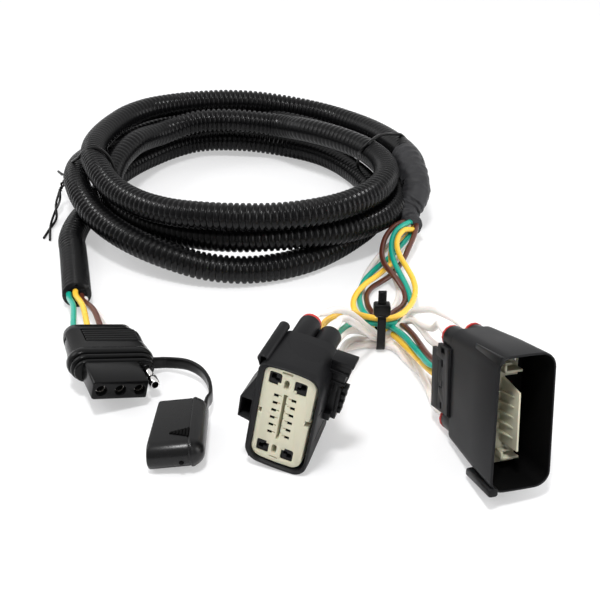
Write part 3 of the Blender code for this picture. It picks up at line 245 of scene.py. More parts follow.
def moulded(name, colour, rough=0.4, grain=900.0, bump=0.06, vary=0.12, coat=0.0, metallic=0.0,
            scatter=0.0, specular=0.5):
    """A moulded surface: fine grain, faint marks in the gloss and a slow change of tone."""
    material = bpy.data.materials.new(name)
    material.use_nodes = True
    tree = material.node_tree
    shader = tree.nodes["Principled BSDF"]
    place = node(tree, "ShaderNodeTexCoord")
    slow = node(tree, "ShaderNodeTexNoise", Scale=45.0, Detail=3.0)
    fine = node(tree, "ShaderNodeTexNoise", Scale=grain, Detail=4.0)
    for texture in (slow, fine):
        join(place, "Object", texture, "Vector")
    tone = node(tree, "ShaderNodeMix")
    tone.data_type = "RGBA"
    dark = tuple(c * (1.0 - vary) for c in colour)
    light = tuple(min(1.0, c * (1.0 + vary)) for c in colour)
    put(tone, {"A": (*dark, 1.0), "B": (*light, 1.0)})
    join(slow, "Fac", tone, "Factor")
    join(tone, "Result", shader, "Base Color")
    gloss = node(tree, "ShaderNodeMapRange")
    put(gloss, {"To Min": max(0.02, rough * 0.82), "To Max": min(1.0, rough * 1.18)})
    join(slow, "Fac", gloss, "Value")
    join(gloss, "Result", shader, "Roughness")
    raised = node(tree, "ShaderNodeBump", Strength=bump, Distance=0.0004)
    join(fine, "Fac", raised, "Height")
    join(raised, "Normal", shader, "Normal")
    put(shader, {"Metallic": metallic, "Specular IOR Level": specular, "Coat Weight": coat,
                 "Coat Roughness": 0.12})
    if scatter:
        put(shader, {"Subsurface Weight": scatter, "Subsurface Scale": 0.002})
    return material


MATERIALS = {
    "loom": moulded("loom black", (0.0032, 0.0032, 0.0035), 0.26, 1400.0, 0.08, 0.15, specular=0.17),
    "tape": moulded("cloth tape", (0.020, 0.020, 0.022), 0.55, 2600.0, 0.5, 0.45, specular=0.3),
    "tie": moulded("tie black", (0.003, 0.003, 0.003), 0.30, 1200.0, 0.05, 0.1, specular=0.18),
    "rubber": moulded("plug black", (0.0028, 0.0028, 0.003), 0.24, 1100.0, 0.05, 0.12, specular=0.15),
    "cap": moulded("cap black", (0.0055, 0.0055, 0.0058), 0.28, 1100.0, 0.05, 0.12, specular=0.26),
    "housing": moulded("housing black", (0.0072, 0.0072, 0.0080), 0.46, 2200.0, 0.10, 0.10, specular=0.15),
    "mould": moulded("mould black", (0.005, 0.005, 0.0055), 0.38, 2200.0, 0.10, 0.10, specular=0.16),
    # painted shade: near-black with almost no gloss, put inside holes, pockets and recesses so they look as
    # dark as shade
    "painted_shade": moulded("painted shade black", (0.002, 0.002, 0.002), 0.6, 2200.0, 0.10, 0.10, specular=0.05),
    "cream": moulded("cream plastic", (0.58, 0.555, 0.42), 0.42, 1300.0, 0.04, 0.05, scatter=0.15),
    "seal": moulded("red silicone", (0.46, 0.022, 0.018), 0.42, 900.0, 0.05, 0.08, scatter=0.1),
    "metal": moulded("tinned", (0.62, 0.60, 0.57), 0.26, 1500.0, 0.05, 0.06, metallic=1.0),
    "chrome": moulded("plated", (0.80, 0.79, 0.78), 0.10, 800.0, 0.02, 0.04, metallic=1.0),
    "brown": moulded("brown insulation", (0.088, 0.022, 0.012), 0.28, 700.0, 0.02, 0.10, coat=0.2),
    "green": moulded("green insulation", (0.003, 0.33, 0.24), 0.28, 700.0, 0.02, 0.08, coat=0.2),
    "yellow": moulded("yellow insulation", (0.86, 0.52, 0.045), 0.28, 700.0, 0.02, 0.06, coat=0.2),
    "white": moulded("white insulation", (0.84, 0.795, 0.76), 0.32, 700.0, 0.02, 0.04, coat=0.2,
                     scatter=0.1),
}


# Mesh code

def link(name, data, material, matrix=None):
    obj = placed(name, data)
    if matrix is not None:
        obj.matrix_world = matrix
    data.materials.append(MATERIALS[material])
    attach(obj, "root")
    return obj


def dress(slot, *names):
    for name in names:
        obj = bpy.data.objects[name]
        obj.data.materials.clear()
        obj.data.materials.append(MATERIALS[slot])


LONG_EDGE = 6.0  # mm; longer edges of an outline are divided


def divided(points, parts):
    """A closed outline with its long edges in equal parts."""
    outline = []
    for p, q in zip(points, points[1:] + points[:1]):
        count = parts if math.dist(p, q) > LONG_EDGE else 1
        for i in range(count):
            outline.append([a + (b - a) * i / count for a, b in zip(p, q)])
    return outline


def rounded(x0, x1, z0, z1, radii, crown=(0.0, 0.0), steps=7):
    """An outline of a box with its own radius at each corner, from the upper right one round to the left.

    The crown lifts the middle of the upper edge and drops the middle of the lower one."""
    if isinstance(radii, (int, float)):
        radii = (radii,) * 4
    a, b, c, d = radii
    points = []
    for cx, cz, radius, start in ((x1 - a, z1 - a, a, 0), (x0 + b, z1 - b, b, 90),
                                  (x0 + c, z0 + c, c, 180), (x1 - d, z0 + d, d, 270)):
        for i in range(steps + 1):
            angle = math.radians(start + 90 * i / steps)
            points.append([cx + radius * math.cos(angle), cz + radius * math.sin(angle)])
    outline = divided(points, 6)
    middle, half = (x0 + x1) / 2, (x1 - x0) / 2
    for p in outline:
        rise = 1.0 - ((p[0] - middle) / half) ** 2
        if p[1] > z1 - 0.35 * (z1 - z0):
            p[1] += crown[0] * rise
        elif p[1] < z0 + 0.35 * (z1 - z0):
            p[1] -= crown[1] * rise
    return outline


def shrunk(outline, by):
    """An outline moved inwards along its own normals."""
    count = len(outline)
    moved = []
    for i, p in enumerate(outline):
        a, b = outline[i - 1], outline[(i + 1) % count]
        run = Vector((b[0] - a[0], b[1] - a[1])).normalized()
        moved.append([p[0] - run.y * by, p[1] + run.x * by])
    return moved


def leaned(shape, depth=20.0, lean=2.8, height=51.3):
    """The connector's face leans a little: its lower edge stands further forward."""
    for vert in shape.mesh.verts:
        share = max(0.0, min(1.0, 1.0 - vert.co.y / MM / depth))
        vert.co.y -= lean * (1.0 - vert.co.z / MM / height) * share * MM


def splayed(shape, depth=46.0, width=25.2, height=56.0, top=1.1, foot=1.6):
    """The left wall stands further out at the front: by top mm, and by foot mm more at its lower end."""
    for vert in shape.mesh.verts:
        x, y, z = (c / MM for c in vert.co)
        share = max(0.0, 1.0 - y / depth) * max(0.0, 1.0 - x / width)
        vert.co.x -= (top + foot * (1.0 - z / height)) * share * MM


def circle(centre, side, rise, radius, sides):
    """Points round a centre; the radius may be a function of the angle."""
    points = []
    for k in range(sides):
        angle = math.tau * k / sides
        r = radius(angle) if callable(radius) else radius
        points.append(centre + (side * math.cos(angle) + rise * math.sin(angle)) * r)
    return points


def beside(way):
    """The level direction beside a way, and the one that rises from both."""
    side = way.cross(Z_AXIS)
    side = side.normalized() if side.length > 1e-3 else X_AXIS
    return side, side.cross(way)


def guides(line):
    """Each point of a line with the two directions across it."""
    for i, point in enumerate(line):
        ahead = line[min(i + 1, len(line) - 1)] - line[max(i - 1, 0)]
        yield point, *beside(ahead.normalized())


class Shape:
    """Mesh code for one piece, in a connector's own mm."""

    def __init__(self):
        self.mesh = bmesh.new()

    def loft(self, rings, ends=True):
        """A skin over rings of equally many (x, y, z) points, closed at its ends."""
        rows = [[self.mesh.verts.new(Vector(p) * MM) for p in ring] for ring in rings]
        for row, after in zip(rows, rows[1:]):
            for k in range(len(row)):
                j = (k + 1) % len(row)
                self.mesh.faces.new((row[k], row[j], after[j], after[k]))
        if ends:
            self.mesh.faces.new(rows[0])
            self.mesh.faces.new(rows[-1])
        return self

    def along_y(self, rings):
        """A skin over (y, outline in x and z) pairs."""
        return self.loft([[(x, y, z) for x, z in outline] for y, outline in rings])

    def box(self, x, y, z):
        base = ((x[0], y[0]), (x[1], y[0]), (x[1], y[1]), (x[0], y[1]))
        return self.hexa([(i, j, k) for k in z for i, j in base])

    def boxes(self, *rows):
        """Boxes, each given by its limits in x, y and z."""
        for x0, x1, y0, y1, z0, z1 in rows:
            self.box((x0, x1), (y0, y1), (z0, z1))

    def hexa(self, points):
        """A solid over four lower and four upper points."""
        return self.loft([points[:4], points[4:]])

    def rod(self, start, end, stations, sides=28):
        """A round form along a line, over (share of the way, radius) pairs."""
        start, end = Vector(start), Vector(end)
        side, rise = beside((end - start).normalized())
        rings = [circle(start.lerp(end, share), side, rise, radius, sides) for share, radius in stations]
        return self.loft(rings)

    def data(self, name):
        bmesh.ops.recalc_face_normals(self.mesh, faces=self.mesh.faces)
        data = bpy.data.meshes.new(name)
        self.mesh.to_mesh(data)
        return data

    def piece(self, name, material, local, bevel=0.0, cut=None, angle=38.0, segments=3):
        """The finished object: cuts taken out, edges softened, and faces shaded smooth up to the angle."""
        if local is FEMALE and name not in ("female_retainer", "female_seals"):
            for shape in (self, cut):
                if shape:
                    leaned(shape)
        obj = link(name, self.data(name), material, local.matrix())
        cutter = None
        if cut:
            cutter = placed(name + "_cut", cut.data(name + "_cut"))
            cutter.matrix_world = local.matrix()
            cutting = obj.modifiers.new("cut", "BOOLEAN")
            cutting.operation, cutting.solver, cutting.object = "DIFFERENCE", "EXACT", cutter
            cutting.use_self = True
        if bevel:
            soft = obj.modifiers.new("soft", "BEVEL")
            soft.width, soft.segments, soft.limit_method = bevel * MM, segments, "ANGLE"
            soft.angle_limit = math.radians(angle)
        if obj.modifiers:
            bpy.context.view_layer.update()
            graph = bpy.context.evaluated_depsgraph_get()
            made = bpy.data.meshes.new_from_object(obj.evaluated_get(graph))
            obj.modifiers.clear()
            obj.data = made
        if cutter:
            bpy.data.objects.remove(cutter)
        obj.data.transform(local.matrix())
        obj.matrix_world = Matrix.Identity(4)
        obj.data.shade_smooth()
        obj.data.set_sharp_from_angle(angle=math.radians(angle))
        return obj


# Cords

def smooth(points, steps=12):
    """A centripetal curve through the points."""
    pts = [Vector(p) for p in points]
    pts = [2 * pts[0] - pts[1]] + pts + [2 * pts[-1] - pts[-2]]
    line = []
    for p0, p1, p2, p3 in zip(pts, pts[1:], pts[2:], pts[3:]):
        t1 = (p1 - p0).length ** 0.5
        t2 = t1 + (p2 - p1).length ** 0.5
        t3 = t2 + (p3 - p2).length ** 0.5
        for i in range(steps):
            t = t1 + (t2 - t1) * i / steps
            a1 = p0 * (t1 - t) / t1 + p1 * t / t1
            a2 = p1 * (t2 - t) / (t2 - t1) + p2 * (t - t1) / (t2 - t1)
            a3 = p2 * (t3 - t) / (t3 - t2) + p3 * (t - t2) / (t3 - t2)
            b1 = a1 * (t2 - t) / t2 + a2 * t / t2
            b2 = a2 * (t3 - t) / (t3 - t1) + a3 * (t - t1) / (t3 - t1)
            line.append(b1 * (t2 - t) / (t2 - t1) + b2 * (t - t1) / (t2 - t1))
    line.append(pts[-2])
    return line


def spaced(line, gap):
    """Points along a line at equal distances near the gap."""
    runs = [0.0]
    for a, b in zip(line, line[1:]):
        runs.append(runs[-1] + (b - a).length)
    count = max(2, round(runs[-1] / gap))
    points, k = [], 0
    for i in range(count + 1):
        goal = runs[-1] * i / count
        while k < len(runs) - 2 and runs[k + 1] < goal:
            k += 1
        span = runs[k + 1] - runs[k]
        points.append(line[k].lerp(line[k + 1], (goal - runs[k]) / span if span else 0.0))
    return points


def length_of(line):
    return sum((b - a).length for a, b in zip(line, line[1:]))


def wire(name, points, diameter, material, gap=1.5):
    """A round cord as a curve, in layout mm; returns the piece and its length in metres."""
    line = spaced(smooth(points), gap)
    curve = bpy.data.curves.new(name, "CURVE")
    curve.dimensions = "3D"
    curve.bevel_depth = diameter / 2 * MM
    curve.bevel_resolution = 6
    curve.use_fill_caps = True
    spline = curve.splines.new("POLY")
    spline.points.add(len(line) - 1)
    for bead, point in zip(spline.points, line):
        bead.co = (*world(point), 1.0)
    return link(name, curve, material), length_of(line) * MM


def tube_mesh(name, line, radii, sides, material, caps=True):
    """A mesh tube of one ring per point, in layout mm, with a radius for each ring."""
    rings = []
    for (point, side, rise), radius in zip(guides(line), radii):
        rings.append([p + SHIFT for p in circle(point, side, rise, radius, sides)])
    data = Shape().loft(rings, ends=caps).data(name)
    data.shade_smooth()
    return link(name, data, material)


# Loom: loose turns through stations, whose radii and levels were fitted to the photograph, then the tail

LOOM = 16.0
LOOM_WALL = 1.1
RIDGE_PITCH = 3.5
RIDGE_DEPTH = 1.3
RIDGE = (0.0, 0.12, 0.92, 1.0, 1.0, 0.88)  # one ridge's height, ring by ring, from the groove up
WORN = 0.72  # how much of the ridges is lost where they fade
FADES = ((155.0, 38.0), (28.0, 40.0))  # where they fade: middle and reach, in degrees round the turns
FADE_STEEP = 2.2
MOUTH_RINGS = 14  # rings of the bore at the open end
LOWEST = 8.05  # the loom lies on the floor
STATION_ANGLE = 22.5
START = ((70.2, 194.0, 24.0), (72.0, 208.0, 27.5))
CENTRE = (-43.3, 228.7)
RADII = (115.9, 113.1, 112.9, 110.2, 100.5, 98.6, 96.8, 91.5, 89.5, 87.7, 90.4, 96.1, 101.9, 108.2, 109.0,
         103.7, 91.6, 73.7, 65.0, 70.5, 70.0, 74.5, 75.1, 72.6, 76.4, 81.6, 86.0, 88.1, 94.4, 102.7, 109.8,
         111.1, 102.7, 97.8, 97.4, 92.6, 103.7, 101.2, 100.7, 102.2, 101.0, 100.3, 103.0, 106.1, 108.0,
         105.3, 99.4, 97.1, 90.9, 86.1, 84.3, 81.4, 79.3, 86.2, 85.3, 84.9, 88.0)
LEVELS = (28.5, 26.0, 24.7, 27.1, 33.3, 35.2, 37.4, 38.0, 38.5, 39.1, 37.2, 38.1, 40.3, 40.4, 38.6, 36.1,
          33.8, 34.1, 33.0, 28.6, 30.0, 29.8, 27.2, 30.8, 27.6, 23.8, 21.2, 21.1, 22.8, 24.6, 22.1, 19.3,
          19.4, 19.7, 18.4, 22.0, 17.6, 18.8, 19.0, 19.3, 24.2, 25.9, 22.0, 17.0, 10.0, 8.0, 8.3, 8.1, 8.3,
          8.2, 8.7, 9.4, 11.8, 10.4, 8.4, 8.1, 8.1)
TAIL = ((-131.5, 206.0, 8.2), (-137.0, 184.0, 8.1), (-137.5, 160.2, 8.1), (-134.5, 147.5, 8.1),
        (-128.9, 123.3, 8.1), (-122.6, 95.3, 8.1))


def turns():
    """Points round the turns, through the stations."""
    stations = [Vector((STATION_ANGLE * i, r, level)) for i, (r, level) in enumerate(zip(RADII, LEVELS))]
    points = []
    for p in spaced(smooth(stations, 6), STATION_ANGLE / 2):
        angle = math.radians(p.x)
        x, y = CENTRE[0] + p.y * math.cos(angle), CENTRE[1] + p.y * math.sin(angle)
        points.append(Vector((x, y, max(p.z, LOWEST))))
    return points


def loom():
    route = [Vector(p) for p in START] + turns()[:-1] + [Vector(p) for p in TAIL]
    rings = len(RIDGE)
    line = spaced(smooth(route, 8), RIDGE_PITCH / rings)
    crest = LOOM / 2

    def worn(point):
        """How much of the ridges shows: the bends at the back look nearly smooth."""
        angle = math.degrees(math.atan2(point.y - CENTRE[1], point.x - CENTRE[0])) % 360.0
        lost = 0.0
        for middle, reach in FADES:
            away = abs((angle - middle + 180.0) % 360.0 - 180.0)
            lost = max(lost, min(1.0, (1.0 - away / reach) * FADE_STEEP))
        return 1.0 - WORN * lost

    radii = [crest - RIDGE_DEPTH * (1.0 - RIDGE[i % rings]) * worn(p) for i, p in enumerate(line)]
    bore = [crest - RIDGE_DEPTH - LOOM_WALL] * MOUTH_RINGS
    piece = tube_mesh("loom", line + line[:-MOUTH_RINGS - 1:-1], radii + bore, 24, "loom", caps=False)
    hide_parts("loom_coil", "loom_tail")
    return piece, line


loom_piece, loom_line = loom()


# Tape round the start of the loom

TAPE = ((68.2, 233.6, 32), (70.7, 215.9, 30.5), (72.2, 203, 28), (72.2, 194.7, 25),
        (70.7, 189.4, 22), (67.8, 185.4, 18.5), (65.6, 180.4, 16), (66.8, 173.7, 14),
        (67.6, 168.5, 13))
TAPE_RADIUS = 8.9
TAPER = 2.3  # how much narrower the tape gets past the loom's end


def tape():
    """The wrap, uneven all round, with creases that deepen towards the wires."""
    line = spaced(smooth(TAPE), 0.6)
    radii = []
    n = len(line)
    for i in range(n):
        share = i / (n - 1)
        base = TAPE_RADIUS - 0.4 * share - TAPER * min(1.0, max(0.0, (share - 0.70) / 0.20)) ** 1.2
        base += 0.8 * max(0.0, (share - 0.93) / 0.07)
        base -= 0.5 * max(0.0, (0.06 - share) / 0.06)
        crease = 0.12 + 0.30 * min(1.0, max(0.0, (share - 0.55) / 0.25))

        def radius(angle, i=i, base=base, crease=crease):
            twist = angle + i * 0.24
            return (base + 0.22 * math.sin(twist * 2 + 0.7) + 0.16 * math.sin(5 * angle + i * 0.16)
                    + crease * math.sin(i * 0.62 + 1.3 * math.sin(angle))
                    + 0.10 * math.sin(11 * angle - i * 0.4)
                    + 0.5 * crease * math.sin(i * 1.15 - 2.0 * angle))

        radii.append(radius)
    piece = tube_mesh("tape", line, radii, 48, "tape")
    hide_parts("tape_wrap")
    return piece


tape_piece = tape()


# Wires

WIRE = 3.2
WHITE_WIRE = 3.5
WAY_PITCH = 4.2
F_TUBES = ((6.6, 45.6), (17.0, 44.4), (7.6, 7.9), (18.4, 7.9))
M_TUBES = ((6.0, 48.6), (16.8, 48.6), (6.0, 9.2), (16.8, 9.8))
F_DEPTH, M_DEPTH = 29.0, 46.0
F_TUBE_END, M_TUBE_END = 46.0, 56.0


def ends():
    """Where each wire comes straight out of its seal, by wire."""
    f_rows = [16.6 + WAY_PITCH * i for i in range(6)]
    m_rows = [18.0 + WAY_PITCH * i for i in range(6)]
    f_columns, m_columns = (8.9, 17.0), (8.0, 16.4)

    def axis(local, x, z, y):
        return [local.layout((x, y + step, z)) for step in (6.5, 2.5, -2.0)]

    f_ways = {"brown_front": (0, 2), "green_front": (0, 4), "yellow_front": (1, 5), "white_5": (1, 3)}
    m_ways = {"brown_rear": (0, 4), "green_rear": (1, 3), "yellow_rear": (0, 2), "white_5": (1, 5)}
    near = {key: axis(FEMALE, f_columns[c], f_rows[r], F_DEPTH) for key, (c, r) in f_ways.items()}
    far = {key: axis(MALE, m_columns[c], m_rows[r], M_DEPTH) for key, (c, r) in m_ways.items()}
    for i, (a, b) in enumerate(((0, 0), (1, 1), (3, 2), (2, 3))):
        near[f"white_{i + 1}"] = axis(FEMALE, *F_TUBES[a], F_TUBE_END)
        far[f"white_{i + 1}"] = axis(MALE, *M_TUBES[b], M_TUBE_END)
    return near, far


def junction():
    near, far = ends()
    inside = Vector((0.4, 9.0, 1.5))  # from a route's first point back into the tape
    for key, route in ROUTES.items():
        points = [Vector(p) for p in route]
        colour = key.split("_")[0]
        if key in near and key in far:
            points = near[key][::-1] + points + far[key]
        elif key in near or key in far:
            points = ([points[0] + inside] + points + (near if key in near else far)[key])[::-1]
        else:
            points = ([points[0] + inside] + points)[::-1]
        thick = WHITE_WIRE if colour == "white" else WIRE
        piece, length = wire("lead_" + key, points, thick, colour)
        if key in near or key in far:
            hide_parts("wire_" + key)


def plug_leads():
    end = Vector(TAIL[-1])
    along = Vector((6.8, -29.9, 0.0)).normalized()
    sideways = Vector((-along.y, along.x, 0.0))
    routes = {"green": ((-4.2, 1.2), (-120.8, 77.1, 12.0), -1.7),
              "yellow": ((-0.6, 2.4), (-115.6, 76.3, 12.6), -0.45),
              "brown": ((2.4, -0.6), (-109.6, 74.7, 11.0), 0.7),
              "white": ((4.2, -3.0), (-106.0, 73.5, 8.0), 1.5)}
    for name, ((side, up), middle, slot) in routes.items():
        start = end + sideways * side + Vector((0.0, 0.0, up))
        x = -2.15 + slot * 6.0
        points = [PLUG.layout((x, 48.0, 0.0)), PLUG.layout((x, 51.5, 0.0)), PLUG.layout((x, 57.0, 0.0)),
                  Vector(middle), start + along * 4.0, start, start - along * 8.0, start - along * 16.0]
        piece, length = wire(f"plug_lead_{name}", points, WIRE, name)
        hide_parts(f"plug_wire_{name}")


junction()
plug_leads()


# Ties

def twist_ties():
    """Thin coated wires over the strands, twisted together at the left one's outer end."""
    left = [(-147.1, 224.9, 30), (-143.8, 217.5, 35), (-139.9, 213.5, 38.5), (-134.8, 211.5, 44.2),
            (-128.0, 208.7, 47.4), (-121.7, 205.2, 46), (-117.0, 202.6, 40.5), (-114.5, 201.0, 33)]
    knot = [(-147.1, 224.9, 30), (-151.4, 222.4, 22), (-153.9, 219.6, 17), (-155.4, 218.2, 14)]
    first = [(-155.4, 218.2, 14), (-154.6, 211.7, 10), (-156.9, 204.4, 5), (-157.6, 193.3, 2),
             (-154.3, 173.5, 1)]
    second = [(-155.4, 218.2, 14), (-157.0, 210.0, 8), (-155.2, 199.0, 3), (-157.6, 187.0, 1),
              (-158.6, 176.2, 1)]
    third = [(-151.4, 222.4, 22), (-156.2, 229.0, 21), (-158.8, 234.0, 20), (-158.2, 240.0, 15)]
    right = [(40.1, 246.5, 6), (39.2, 254.4, 12), (38.4, 242, 25), (39.4, 228.8, 37), (44, 229.1, 42),
             (50.4, 237.8, 43.0), (56.5, 245.8, 41.5), (61.7, 253, 38.5), (67.5, 259.4, 35.5),
             (72.4, 265.3, 29)]

    def strand(shape, route, radius=0.85, wave=0.0):
        rings = []
        for i, (point, side, rise) in enumerate(guides(spaced(smooth(route), 0.7))):
            shift = (side * math.cos(i * 0.9) + rise * math.sin(i * 0.9)) * wave
            rings.append(circle(point + shift, side, rise, radius, 8))
        shape.loft(rings)

    shape = Shape()
    strand(shape, left, 1.0)
    strand(shape, knot, 0.8, 0.7)
    strand(shape, [(x + 0.4, y, z - 0.5) for x, y, z in knot], 0.8, -0.7)
    for route in (first, second, third):
        strand(shape, route, 0.8)
    left_tie = shape.piece("tie_left", "tie", LAYOUT)
    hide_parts("twist_tie_left")
    shape = Shape()
    strand(shape, right, 1.0)
    right_tie = shape.piece("tie_right", "tie", LAYOUT)
    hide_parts("twist_tie_right")
    return left_tie, right_tie


tie_left, tie_right = twist_ties()


def zip_tie():
    """A ratchet tie round the junction: a band, a bevelled head and a toothed tail."""
    x, y = 41.5, 52.8
    outer = rounded(49.4, 67.0, 0.2, 22.8, (7.5, 3.0, 5.0, 5.0))
    inner = shrunk(outer, 1.1)
    half, teeth, pitch, tooth = 2.15, 7, 0.95, 0.75
    shape = Shape()
    band = ((-half, outer), (half, outer), (half, inner), (-half, inner), (-half, outer))
    shape.loft([[(x + side, py, pz) for py, pz in ring] for side, ring in band], ends=False)
    bmesh.ops.remove_doubles(shape.mesh, verts=shape.mesh.verts, dist=1e-6)
    corners = ((-1, -1), (1, -1), (1, 1), (-1, 1))
    head = ((2.7, 2.0, 21.0), (4.3, 2.7, 23.2), (4.3, 2.7, 27.2), (3.6, 2.2, 28.4))
    shape.loft([[(x + sx * hx, y + sy * hy, z) for sx, sy in corners] for hx, hy, z in head])
    shape.box((x - 2.1, x + 2.1), (y - 0.6, y + 0.6), (20.0, 35.6))
    for i in range(teeth):
        z = 28.9 + pitch * i
        left, right, top = x - 1.5, x + 1.5, z + tooth
        shape.hexa([(left, y - 1.15, z), (right, y - 1.15, z), (right, y, z), (left, y, z),
                    (left, y - 0.5, top), (right, y - 0.5, top), (right, y, top), (left, y, top)])
    piece = shape.piece("tie_zip", "tie", LAYOUT, bevel=0.25, segments=2)
    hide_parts("zip_tie")


zip_tie()


# Connector with the sockets

def female():
    radii = (7.0, 3.2, 6.5, 5.5)
    crown = (1.5, 0.9)
    front = rounded(-1.6, 27.4, 0.0, 51.4, radii, crown)
    rear = rounded(0.0, 26.2, 0.9, 51.0, radii, (0.8, 0.5))
    mouth = rounded(1.2, 26.0, 1.9, 51.1, (6.0, 3.4, 5.4, 5.2), crown)
    shell = Shape().along_y([(F_DEPTH, shrunk(rear, 1.0)), (28.2, rear), (4.5, front), (0.7, front),
                             (0.25, shrunk(front, 0.22)), (0.0, shrunk(front, 0.7)),
                             (0.0, shrunk(mouth, -0.35)), (0.4, mouth), (22.5, mouth)])
    cut = Shape()
    slits = (((8.9, 31.6), (2.6, 33.4)), ((22.2, 16.4), (4.4, 17.2)))
    for (ya, za), (yb, zb) in slits:
        cut.hexa([(x, y, z + rise) for rise in (-0.4, 0.4) for x, y, z in
                  ((26.4, yb, zb), (28.5, yb, zb), (28.5, ya, za), (26.0, ya, za))])
    body = shell.piece("female_shell", "housing", FEMALE, cut=cut)
    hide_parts("female_housing")

    # Rail, latch box, foot and tubes
    extra = Shape()
    arc = [(-1.2 + 2.5 * math.cos(a), 51.6 + 2.3 * math.sin(a)) for a in
           (math.radians(-60 + 280 * i / 14) for i in range(15))]
    rail = arc + [(-2.2, 48.0), (1.2, 47.5)]
    extra.along_y([(30.0, shrunk(rail, 0.5)), (29.4, rail), (3.4, rail), (2.9, shrunk(rail, 0.3))])
    latch = ((-1.6, 19.6), (-7.2, 20.6), (-7.4, 31.0), (-1.4, 44.5))
    extra.along_y([(0.6, latch), (16.0, latch)])
    foot = ((20.5, -0.6), (0.5, -0.6), (-0.2, 0.6), (0.8, 2.4), (20.8, 2.4))
    extra.along_y([(1.6, foot), (20.0, foot)])
    seals = Shape()
    for i, (x, z) in enumerate(F_TUBES):
        end, out, lip = (42.8, -0.6, 4.4) if i == 1 else (44.0, 1.5, 4.9)  # the second sits inside its tube
        stations = ((0, 4.4), (0.8, 4.4), (0.84, lip), (0.98, lip), (1.0, 4.4))
        seals.rod((x, 36.0, z), (x, end + out, z), stations, 32)
        extra.rod((x, 27.0, z), (x, end, z), ((0, 5.3), (0.955, 5.25), (0.99, 5.0), (1.0, 4.7)), 36)
    made = seals.piece("female_seals", "seal", FEMALE)
    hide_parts(*(f"female_wire_seal_{i}" for i in range(1, 5)))
    pocket = Shape()
    pocket.box((-6.7, -1.9), (-0.5, 9.0), (21.4, 31.0))
    pocket.hexa([(-1.9, 2.0, 48.4), (-0.1, 2.0, 48.4), (-0.1, 7.0, 48.4), (-1.9, 7.0, 48.4),
                 (-2.2, 2.0, 53.0), (0.4, 2.0, 53.0), (0.4, 7.0, 53.0), (-2.2, 7.0, 53.0)])
    extra.piece("female_fittings", "housing", FEMALE, bevel=0.35, cut=pocket)
    # Painted shade: a near-black box at the back of the latch pocket
    Shape().box((-6.8, -1.8), (8.2, 8.9), (21.3, 31.1)).piece("female_latch_painted_shade", "painted_shade", FEMALE)

    # Insert with its ways
    face = rounded(1.0, 24.7, 2.7, 50.9, (4.6, 3.8, 4.8, 4.6), (1.3, 0.7))
    insert = Shape().along_y([(20, face), (1.5, face), (1, shrunk(face, 0.2)), (0.8, shrunk(face, 0.6))])
    ways = Shape()
    big = ((6.4, 46.0, 1, -1), (17.9, 44.9, -1, -1), (6.2, 8.8, 1, 1), (17.6, 8.2, -1, 1))
    for x, z, *_ in big:
        outline = rounded(x - 2.85, x + 2.85, z - 3.35, z + 3.35, 1.0, steps=4)
        ways.along_y([(0.2, outline), (12.0, outline)])
    left_rows = [17.7 + 4.0 * i for i in range(6)]
    right_rows = [17.6 + 4.02 * i for i in range(6)]
    for left, right in zip(left_rows, right_rows):
        ways.boxes((7, 9.2, 0.3, 9, left - 0.85, left + 0.85),
                   (9.2, 10.6, 0.3, 1.4, left + 0.2, left + 0.75),
                   (15, 17.2, 0.3, 9, right - 0.85, right + 0.85),
                   (13.6, 15, 0.3, 1.4, right + 0.2, right + 0.75),
                   (12.8, 13.3, 0.3, 6, right + 0.9, right + 1.8))
    ways.box((11.3, 12.8), (0.3, 8.0), (15.0, 39.6))
    for x, z in ((11.7, 44.7), (11.6, 9.2)):
        slot = rounded(x - 1.15, x + 1.15, z - 2.5, z + 2.4, 1.1, steps=4)
        ways.along_y([(0.2, slot), (5.0, slot)])
    ways.boxes((9, 13.7, 0.3, 2.4, 49.9, 50.8), (9.8, 13.9, 0.3, 2.4, 4.3, 5),
               (1.5, 3, 0.3, 4, 26.4, 29), (22.6, 25.4, 0.3, 4, 26.8, 29.9))
    made = insert.piece("female_face", "cream", FEMALE, bevel=0.12, cut=ways, segments=2)
    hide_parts("female_insert")

    # Dark liners of the big ways, with the bite towards the middle in cream; the liners' black stands in
    # for the shade down the ways, as painted shade, while their holes and the bites follow the real ways
    shade_liner, holes, bites = Shape(), Shape(), Shape()
    for x, z, dx, dz in big:
        outline = rounded(x - 2.8, x + 2.8, z - 3.3, z + 3.3, 0.9, steps=4)
        shade_liner.along_y([(1.5, outline), (11.0, outline)])
        for px, pz, w, h in ((-0.9 * dx, -0.7 * dz, 1.1, 1.3), (0.9 * dx, 0.5 * dz, 0.9, 0.8)):
            holes.box((x + px - w, x + px + w), (1.0, 9.0), (z + pz - h, z + pz + h))
        bx, bz = x + 2.2 * dx, z + 2.7 * dz
        bites.box((bx - 0.75, bx + 0.75), (0.95, 9.0), (bz - 0.75, bz + 0.75))
    made = shade_liner.piece("female_shade_liners", "housing", FEMALE, bevel=0.15, cut=holes, segments=2)
    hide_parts(*(f"female_terminal_{i}" for i in range(1, 5)))
    bites.piece("female_bites", "cream", FEMALE, bevel=0.15, segments=2)
    # Painted shade: near-black boxes down the small ways
    painted_shade_boxes = Shape()
    for left, right in zip(left_rows, right_rows):
        painted_shade_boxes.box((6.9, 9.3), (1.3, 8.6), (left - 0.95, left + 0.95))
        painted_shade_boxes.box((14.9, 17.3), (1.3, 8.6), (right - 0.95, right + 0.95))
    painted_shade_boxes.piece("female_painted_shade", "painted_shade", FEMALE)

